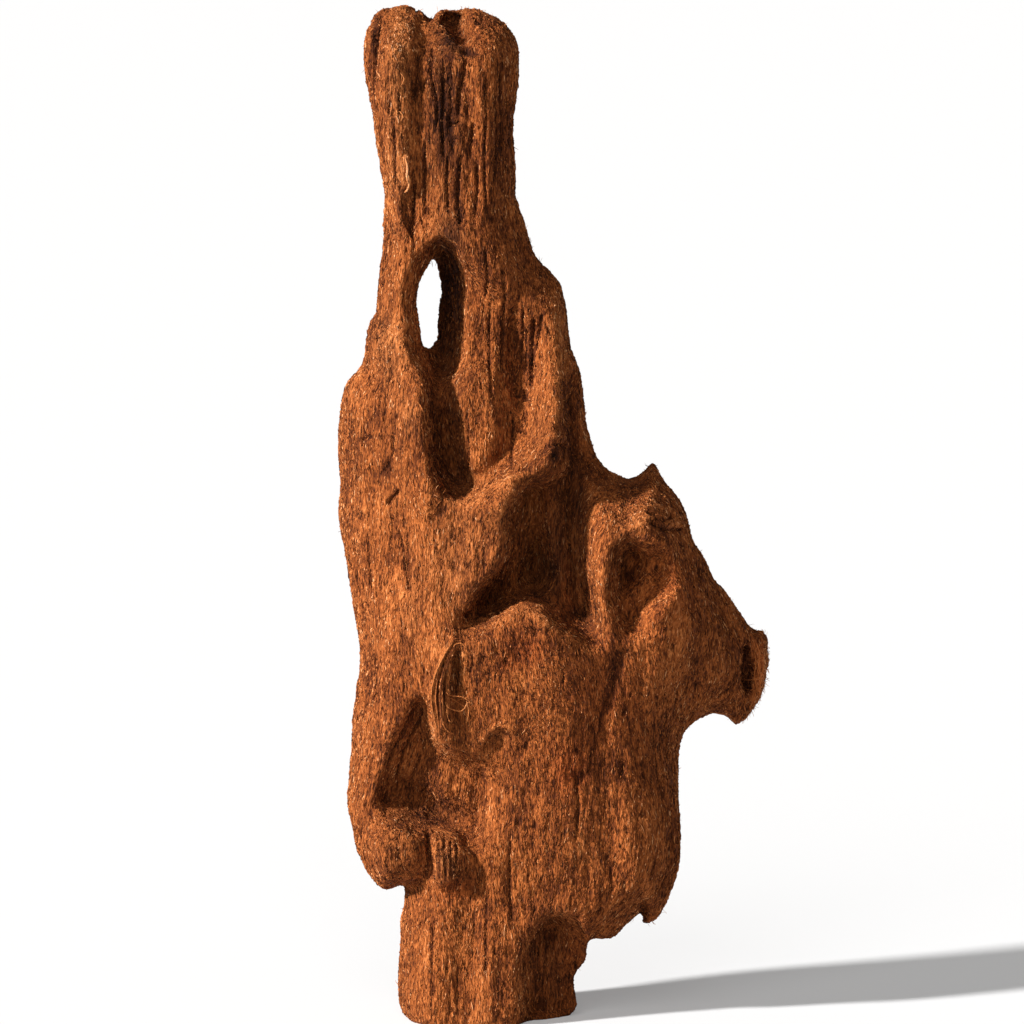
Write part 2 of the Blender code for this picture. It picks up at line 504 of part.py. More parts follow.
def build_mesh(wood):
    """One closed mesh of the two faces, which share the loops' points except along the sawn foot."""
    shape = bmesh.new()
    edge_count = len(wood.outline) + len(wood.window)
    foot_ids = range(len(wood.sides), len(wood.outline))
    freedom = shape.verts.layers.float.new("freedom")
    shared = {}
    foot_pairs = {}
    for which, step in enumerate((FRONT_STEP, BACK_STEP)):
        flat, origin, triangles = triangulate(wood, wood.face_points(step))
        depth = wood.faces_at(flat)
        made = []
        for (x, z), y, free, first in zip(flat.tolist(), depth[which].tolist(), depth[2], origin):
            edge_point = first < edge_count and first not in foot_ids
            vertex = shared.get(first) or shape.verts.new((x * MM, y * MM, z * MM))
            vertex[freedom] = free
            if edge_point:
                shared[first] = vertex
            elif first in foot_ids:
                foot_pairs.setdefault(first, []).append(vertex)
            made.append(vertex)
        for corners in triangles:
            shape.faces.new([made[i] for i in corners])
    close_foot(shape, shared[len(wood.sides) - 1], foot_pairs, shared[0])
    bmesh.ops.recalc_face_normals(shape, faces=shape.faces)
    smooth_faces(shape, set(shared.values()))
    return shape


def close_foot(shape, right, pairs, left):
    """The sawn face under the foot, as a strip between the two faces' lowest rows."""
    row = [[right, right]] + [pairs[key] for key in sorted(pairs)] + [[left, left]]
    for here, there in zip(row, row[1:]):
        shape.faces.new(dict.fromkeys([here[0], *there, here[1]]))


def smooth_faces(shape, edge):
    """Evens out the depth of both faces, and leaves the outline and the sawn foot."""
    free = [v for v in shape.verts if v.co.z > 0 and v not in edge]
    for _ in range(SMOOTHING_ROUNDS):
        bmesh.ops.smooth_vert(shape, verts=free, factor=0.5, use_axis_y=True)


def dent(place):
    """How deep the dents round the sides are at a spot."""
    depth = 0.0
    for x, y, z, reach_x, reach_y, reach_z, deep in DENTS:
        off = Vector(((place.x - x) / reach_x, (place.y - y) / reach_y, (place.z - z) / reach_z))
        depth += deep * math.exp(-off.length_squared)
    return depth


def flute(place):
    """How far the surface stands out or in at a spot, as long flutes along the grain and broad lumps."""
    height = 0.0
    lean = FLUTE_LEAN * place.z + 2.0 * noise.noise(place / FLUTE_WANDER_LENGTH)
    for across, along, size in FLUTES:
        spot = Vector(((place.x + lean) / across, place.y / across, place.z / along))
        height += size * noise.noise(spot)
    return height


def carve(shape):
    """Moves the points along their normals by dents and flutes, and keeps the sawn foot flat."""
    shape.normal_update()
    freedom = shape.verts.layers.float["freedom"]
    moves = []
    for vertex in shape.verts:
        place = vertex.co / MM
        rise = min(1.0, place.z / FLUTE_KEEP_OFF_FOOT)
        height = flute(place) * rise - dent(place)
        moves.append(vertex.normal * height * vertex[freedom] * MM)
    for vertex, move in zip(shape.verts, moves):
        on_foot = vertex.co.z < 1e-6
        vertex.co += move
        vertex.co.z = 0.0 if on_foot else max(vertex.co.z, 0.0)


def fewer_triangles(piece):
    """Leaves about TRIANGLES, most of them where the surface turns, and flattens the sawn foot again."""
    reduction = piece.modifiers.new("fewer triangles", "DECIMATE")
    reduction.ratio = TRIANGLES / sum(len(face.vertices) - 2 for face in piece.data.polygons)
    reduction.use_collapse_triangulate = True
    graph = bpy.context.evaluated_depsgraph_get()
    full = piece.data
    piece.data = bpy.data.meshes.new_from_object(piece.evaluated_get(graph))
    piece.modifiers.clear()
    bpy.data.meshes.remove(full)
    piece.data.name = piece.name


def stand_on_origin(mesh):
    """Puts the foot on z = 0 and the middle of the bounding box over the origin."""
    places = np.empty(len(mesh.vertices) * 3)
    mesh.vertices.foreach_get("co", places)
    places = places.reshape(-1, 3)
    low, high = places.min(0), places.max(0)
    places -= ((low[0] + high[0]) / 2, (low[1] + high[1]) / 2, low[2])
    places[places[:, 2] < FOOT_FLAT * MM, 2] = 0.0
    mesh.vertices.foreach_set("co", places.ravel())


def wood_material():
    """Dry, dull red-brown wood."""
    material = bpy.data.materials.new("driftwood")
    material.use_nodes = True
    shader = material.node_tree.nodes["Principled BSDF"]
    shader.inputs["Base Color"].default_value = WOOD_COLOUR
    shader.inputs["Roughness"].default_value = WOOD_ROUGHNESS
    shader.inputs["Metallic"].default_value = 0.0
    return material


def main():
    for old in list(bpy.data.objects):
        bpy.data.objects.remove(old)
    shape = build_mesh(Wood())
    carve(shape)
    mesh = bpy.data.meshes.new("driftwood")
    shape.to_mesh(mesh)
    shape.free()
    mesh.materials.append(wood_material())
    piece = bpy.data.objects.new("driftwood", mesh)
    bpy.context.scene.collection.objects.link(piece)
    fewer_triangles(piece)
    stand_on_origin(piece.data)
    piece.data.shade_smooth()


main()
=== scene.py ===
"""The looks of an upright piece of driftwood: its carved surface, its coat of fibres and its colours.

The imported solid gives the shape. A finer copy of it is carved along the grain with cracks, ridges and
pits, thousands of fibres are laid on that surface, and loose strands hang at the torn places. Lengths
in the classes are in millimetres, and x runs to the right, z up, with the front facing -Y.
"""

import itertools
import logging
import math
from collections.abc import Callable
from dataclasses import dataclass
from enum import Enum

import bpy
import numpy as np
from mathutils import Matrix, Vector
from mathutils.bvhtree import BVHTree


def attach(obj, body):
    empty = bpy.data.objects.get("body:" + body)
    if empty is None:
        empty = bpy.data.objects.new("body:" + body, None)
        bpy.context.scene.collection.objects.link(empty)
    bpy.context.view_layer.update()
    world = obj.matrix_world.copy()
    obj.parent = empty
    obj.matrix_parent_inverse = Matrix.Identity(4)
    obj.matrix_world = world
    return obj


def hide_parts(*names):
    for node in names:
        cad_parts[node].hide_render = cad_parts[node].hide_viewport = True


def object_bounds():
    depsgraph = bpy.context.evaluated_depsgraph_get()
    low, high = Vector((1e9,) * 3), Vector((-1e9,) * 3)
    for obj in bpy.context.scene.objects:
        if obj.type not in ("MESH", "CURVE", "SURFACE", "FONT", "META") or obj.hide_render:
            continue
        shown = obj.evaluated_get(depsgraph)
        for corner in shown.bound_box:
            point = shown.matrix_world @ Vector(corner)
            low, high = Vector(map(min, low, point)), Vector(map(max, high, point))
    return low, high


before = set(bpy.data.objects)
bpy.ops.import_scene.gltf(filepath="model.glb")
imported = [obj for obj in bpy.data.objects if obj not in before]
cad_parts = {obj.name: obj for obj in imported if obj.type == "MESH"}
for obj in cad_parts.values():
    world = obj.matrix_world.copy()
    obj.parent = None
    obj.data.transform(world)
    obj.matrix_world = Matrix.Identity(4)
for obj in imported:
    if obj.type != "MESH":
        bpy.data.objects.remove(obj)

CAD_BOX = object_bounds()
NODE = "driftwood"
BODY = "root"
MM = 0.001

log = logging.getLogger("driftwood")

Rows = np.ndarray
Nodes = bpy.types.ShaderNodeTree


# Smooth noise and small helpers

GRADIENTS = np.array([
    (1, 1, 0), (-1, 1, 0), (1, -1, 0), (-1, -1, 0), (1, 0, 1), (-1, 0, 1), (1, 0, -1), (-1, 0, -1),
    (0, 1, 1), (0, -1, 1), (0, 1, -1), (0, -1, -1), (1, 1, 0), (-1, 1, 0), (0, -1, 1), (0, -1, -1),
], float)
HASH_PRIMES = (73856093, 19349663, 83492791, 49979687)
HASH_MIX = 1274126177


def noise(points: Rows, seed: int = 0) -> Rows:
    """Smooth gradient noise.

    Args:
        points: rows of three numbers, one cell of the noise for each unit.
        seed: a whole number that picks one of many patterns.

    Returns:
        One value a row, from about -1 to 1.
    """
    cell = np.floor(points)
    part = points - cell
    cell = cell.astype(np.int64)
    ease = part ** 3 * (part * (part * 6 - 15) + 10)
    total = np.zeros(len(points))
    for corner in itertools.product((0, 1), repeat=3):
        key = (cell + corner) * HASH_PRIMES[:3]
        mixed = key[:, 0] ^ key[:, 1] ^ key[:, 2] ^ (seed * HASH_PRIMES[3])
        mixed = (mixed ^ (mixed >> 13)) * HASH_MIX
        gradient = GRADIENTS[(mixed ^ (mixed >> 16)) & 15]
        weight = np.prod(np.where(corner, ease, 1 - ease), axis=1)
        total += weight * ((part - corner) * gradient).sum(1)
    return total


def smoothstep(value: Rows, low: float = 0.0, high: float = 1.0) -> Rows:
    """An S-shaped rise from 0 at low to 1 at high; it falls where high is the smaller."""
    t = np.clip((value - low) / (high - low), 0, 1)
    return t * t * (3 - 2 * t)


def unit(rows: Rows) -> Rows:
    """The rows scaled to length 1."""
    return rows / np.maximum(np.linalg.norm(rows, axis=1, keepdims=True), 1e-12)


def between(ends: tuple[float, float], share: Rows) -> Rows:
    """The values that lie by these shares between two ends."""
    return ends[0] + (ends[1] - ends[0]) * share


def smooth_line(points: tuple[tuple[float, ...], ...], steps: int = 6) -> Rows:
    """A line through the points, as a smooth run of short steps.

    Args:
        points: the places that the line runs through.
        steps: how many steps lie between two of them.

    Returns:
        The line's places, one a row.
    """
    rows = np.array(points, float)
    padded = np.concatenate([rows[:1], rows, rows[-1:]])
    t = (np.arange(steps) / steps)[:, None]
    made = []
    for p0, p1, p2, p3 in zip(padded, padded[1:], padded[2:], padded[3:]):
        made.append(0.5 * (2 * p1 + (p2 - p0) * t + (2 * p0 - 5 * p1 + 4 * p2 - p3) * t ** 2
                           + (3 * p1 - p0 - 3 * p2 + p3) * t ** 3))
    return np.concatenate([*made, rows[-1:]])


def from_line(flat: Rows, curve: Rows) -> tuple[Rows, Rows]:
    """How far each x, z spot lies from a line, and how far along it, from 0 to 1, the nearest place is.

    Args:
        flat: the x, z spots.
        curve: the line's places, one a row.

    Returns:
        Each spot's distance, and the share of the line at which its nearest place lies.
    """
    starts, along = curve[:-1], np.diff(curve, axis=0)
    offset = flat[:, None] - starts
    t = np.clip((offset * along).sum(2) / np.maximum((along ** 2).sum(1), 1e-9), 0, 1)
    distance = np.linalg.norm(offset - along * t[..., None], axis=2)
    nearest = distance.argmin(1)
    rows = np.arange(len(flat))
    return distance[rows, nearest], (nearest + t[rows, nearest]) / len(along)


def within(flat: Rows, ring: Rows) -> Rows:
    """Whether each x, z spot lies inside a closed line.

    Args:
        flat: the x, z spots.
        ring: the closed line's places, one a row.

    Returns:
        One truth value a spot.
    """
    inside = np.zeros(len(flat), bool)
    for (x0, z0), (x1, z1) in zip(ring, np.roll(ring, -1, axis=0)):
        if z0 != z1:
            crosses = (z0 > flat[:, 1]) != (z1 > flat[:, 1])
            inside ^= crosses & (flat[:, 0] < (x1 - x0) * (flat[:, 1] - z0) / (z1 - z0) + x0)
    return inside


def vertex_rows(mesh: bpy.types.Mesh) -> Rows:
    """The mesh's points in millimetres.

    Args:
        mesh: the mesh.

    Returns:
        One point a row.
    """
    rows = np.empty(len(mesh.vertices) * 3, np.float32)
    mesh.vertices.foreach_get("co", rows)
    return rows.reshape(-1, 3).astype(float) / MM


def normal_rows(mesh: bpy.types.Mesh) -> Rows:
    """The mesh's point normals.

    Args:
        mesh: the mesh.

    Returns:
        One unit vector a row.
    """
    rows = np.empty(len(mesh.vertices) * 3, np.float32)
    mesh.vertex_normals.foreach_get("vector", rows)
    return rows.reshape(-1, 3).astype(float)


def set_points(mesh: bpy.types.Mesh, points: Rows) -> None:
    """Sets the mesh's points, given in millimetres, kept within the solid's box.

    Args:
        mesh: the mesh.
        points: one point a row, in millimetres.
    """
    low, high = (np.array(corner) / MM for corner in CAD_BOX)
    mesh.vertices.foreach_set("co", (np.clip(points, low, high) * MM).astype(np.float32).ravel())
    mesh.update()


def store(mesh: bpy.types.Mesh, name: str, values: Rows) -> None:
    """Keeps one number, or one vector, for each point of the mesh under a name.

    Args:
        mesh: the mesh.
        name: the name that the materials read.
        values: one number, or one row of three, for each point.
    """
    kind = "FLOAT" if values.ndim == 1 else "FLOAT_VECTOR"
    attribute = mesh.attributes.get(name) or mesh.attributes.new(name, kind, "POINT")
    key = "value" if values.ndim == 1 else "vector"
    attribute.data.foreach_set(key, values.astype(np.float32).ravel())


def only(piece: bpy.types.Object) -> None:
    """Deselects everything, then selects this piece and makes it the active one.

    Args:
        piece: the piece.
    """
    bpy.ops.object.select_all(action="DESELECT")
    piece.select_set(True)
    bpy.context.view_layer.objects.active = piece


def apply_modifier(piece: bpy.types.Object, kind: str, **settings: object) -> None:
    """Adds a modifier with these settings and applies it.

    Args:
        piece: the piece.
        kind: the modifier's type.
        settings: the modifier's properties.
    """
    only(piece)
    modifier = piece.modifiers.new(kind.lower(), kind)
    for name, value in settings.items():
        setattr(modifier, name, value)
    bpy.ops.object.modifier_apply(modifier=modifier.name)


# The run of the grain

@dataclass(frozen=True)
class Knot:
    """A place where a branch grew: the fibres part round it."""

    x: float
    z: float
    reach: float
    pull: float


@dataclass(frozen=True)
class Lean:
    """A stretch where the fibres lean, by slope to the right for each unit up."""

    x: float
    z: float
    reach_x: float
    reach_z: float
    slope: float


@dataclass
class GrainField:
    """The way the fibres run, as smooth coordinates across and along them."""

    knots: tuple[Knot, ...] = (
        Knot(0.0, 166.0, 6.0, 0.5),
        Knot(29.0, 130.0, 15.0, 0.55),
        Knot(-36.0, 212.0, 9.0, 0.35),
        Knot(-14.0, 98.0, 11.0, 0.3),
        Knot(-46.0, 132.0, 5.0, 0.35),
        Knot(-57.5, 150.5, 3.0, 0.5),
        Knot(18.0, 58.0, 9.0, 0.25),
    )
    leans: tuple[Lean, ...] = (
        Lean(-44.0, 76.0, 20.0, 26.0, 0.26),
        Lean(30.0, 92.0, 34.0, 44.0, -0.10),
        Lean(56.0, 100.0, 16.0, 20.0, -0.12),
        Lean(-16.0, 140.0, 16.0, 20.0, 0.16),
        Lean(14.0, 30.0, 24.0, 30.0, 0.10),
        Lean(-46.0, 250.0, 16.0, 34.0, -0.05),
    )
    wander: tuple[tuple[float, float, float], ...] = ((16.0, 46.0, 1.3), (4.5, 9.0, 0.34))
    probe: float = 0.2

    def across(self, x: Rows, z: Rows) -> Rows:
        """How far across the grain each spot of the front view lies.

        Args:
            x: each spot's x.
            z: each spot's z.

        Returns:
            One value a spot, in millimetres.
        """
        moved = x.copy()
        for knot in self.knots:
            aside, above = x - knot.x, z - knot.z
            moved -= knot.pull * aside * knot.reach ** 2 / (aside ** 2 + above ** 2 + knot.reach ** 2)
        for lean in self.leans:
            near = np.exp(-((x - lean.x) / lean.reach_x) ** 2 - ((z - lean.z) / lean.reach_z) ** 2)
            moved -= lean.slope * (z - lean.z) * near
        return moved

    def coordinates(self, points: Rows) -> Rows:
        """Across the grain to the right, across it to the back, and along it, for each point.

        Args:
            points: points of the surface, in millimetres.

        Returns:
            Three values a row, in millimetres.
        """
        x, y, z = points.T
        rows = np.stack([self.across(x, z), y, z], axis=1)
        for number, (wide, long, size) in enumerate(self.wander):
            spot = points / (wide, wide, long)
            rows[:, 0] += size * noise(spot, 11 + number)
            rows[:, 1] += size * noise(spot + 7.3, 21 + number)
        return rows

    def direction(self, points: Rows) -> Rows:
        """The way the fibres run up at each point: the way in which no across value changes.

        Args:
            points: points of the surface, in millimetres.

        Returns:
            One unit vector a row.
        """
        here = self.coordinates(points)[:, :2]
        change = [(self.coordinates(points + step)[:, :2] - here) / self.probe
                  for step in np.eye(3) * self.probe]
        run = np.cross(*(np.stack([c[:, side] for c in change], axis=1) for side in (0, 1)))
        return unit(run * np.sign(run[:, 2:]))


# Hollows, pits and ridges, by their place in the front view

LINE_REACH = 3  # how many half widths to each side of a line are worth reading
RAGGED_CELL = (2.2, 2.2, 3.4)
RAGGED_SEEDS = (41, 42)


class Face(Enum):
    """Which face of the wood a mark is on, as the sign of its outward y."""

    FRONT = -1
    BACK = 1

    def seen(self, normals: Rows, low: float = 0.0, high: float = 0.5) -> Rows:
        """How squarely each point of the surface looks to this side, from 0 to 1."""
        return smoothstep(normals[:, 1] * self.value, low, high)


@dataclass(frozen=True)
class Line:
    """A groove along a line of x, z points, or with a negative depth a ridge."""

    half_width: float
    depth: float
    points: tuple[tuple[float, float], ...]
    face: Face = Face.FRONT
    fade: float = 0.22

    def sunk(self, points: Rows, normals: Rows) -> Rows:
        """How deep the line lies at each point of the surface.

        Args:
            points: points of the surface, in millimetres.
            normals: the way off the surface at each point.

        Returns:
            One depth a point, in millimetres.
        """
        curve = smooth_line(self.points)
        margin = LINE_REACH * self.half_width
        low, high = curve.min(0) - margin, curve.max(0) + margin
        flat = points[:, [0, 2]]
        near = np.flatnonzero(((flat > low) & (flat < high)).all(1)
                              & (normals[:, 1] * self.face.value > 0))
        sunk = np.zeros(len(points))
        if len(near):
            distance, place = from_line(flat[near], curve)
            fade = smoothstep(np.minimum(place, 1 - place) / self.fade)
            sunk[near] = (self.depth * fade * self.face.seen(normals[near])
                          * np.exp(-(distance / self.half_width) ** 2))
        return sunk


@dataclass(frozen=True)
class Hollow:
    """A hollow between two lines that share their ends, with a wall of its own width along each line."""

    depth: float
    steep_wall: float
    gentle_wall: float
    steep: tuple[tuple[float, float], ...]
    gentle: tuple[tuple[float, float], ...]
    face: Face = Face.FRONT
    ragged: float = 0.5

    def sunk(self, points: Rows, normals: Rows) -> Rows:
        """How deep the hollow is at each point of the surface; its rim is crisp and a little ragged.

        Args:
            points: points of the surface, in millimetres.
            normals: the way off the surface at each point.

        Returns:
            One depth a point, in millimetres.
        """
        steep, gentle = smooth_line(self.steep, 4), smooth_line(self.gentle, 4)
        ring = np.concatenate([steep, gentle[::-1]])
        low, high = ring.min(0) - 1, ring.max(0) + 1
        flat = points[:, [0, 2]]
        facing = self.face.seen(normals, -0.1, 0.2)
        near = np.flatnonzero(((flat > low) & (flat < high)).all(1) & (facing > 0))
        spot = points[near] / RAGGED_CELL
        flat = flat[near] + self.ragged * np.stack([noise(spot, seed) for seed in RAGGED_SEEDS], axis=1)
        sunk = np.zeros(len(points))
        wall = [np.sin(np.clip(from_line(flat, line)[0] / width, 0, 1) * math.pi / 2)
                for line, width in ((steep, self.steep_wall), (gentle, self.gentle_wall))]
        sunk[near] = self.depth * facing[near] * within(flat, ring) * wall[0] * wall[1]
        return sunk


@dataclass(frozen=True)
class Spot:
    """A small pit or, with a negative depth, a bump, round or drawn out along the grain."""

    x: float
    z: float
    reach_x: float
    reach_z: float
    depth: float
    face: Face = Face.FRONT

    def nearness(self, points: Rows, normals: Rows) -> Rows:
        """1 in the middle of the spot, falling to 0 around it."""
        off = ((points[:, 0] - self.x) / self.reach_x) ** 2 + ((points[:, 2] - self.z) / self.reach_z) ** 2
        return np.exp(-off) * self.face.seen(normals)


@dataclass(frozen=True)
class Layer:
    """One layer of relief along the grain: its size across and along, and its height."""

    wide: float
    long: float
    seed: int
    height: float = 1.0

    def read(self, grain: Rows) -> Rows:
        """The layer's noise at grain coordinates, or at plain ones, before its height."""
        return noise(grain / (self.wide, self.wide, self.long), self.seed)


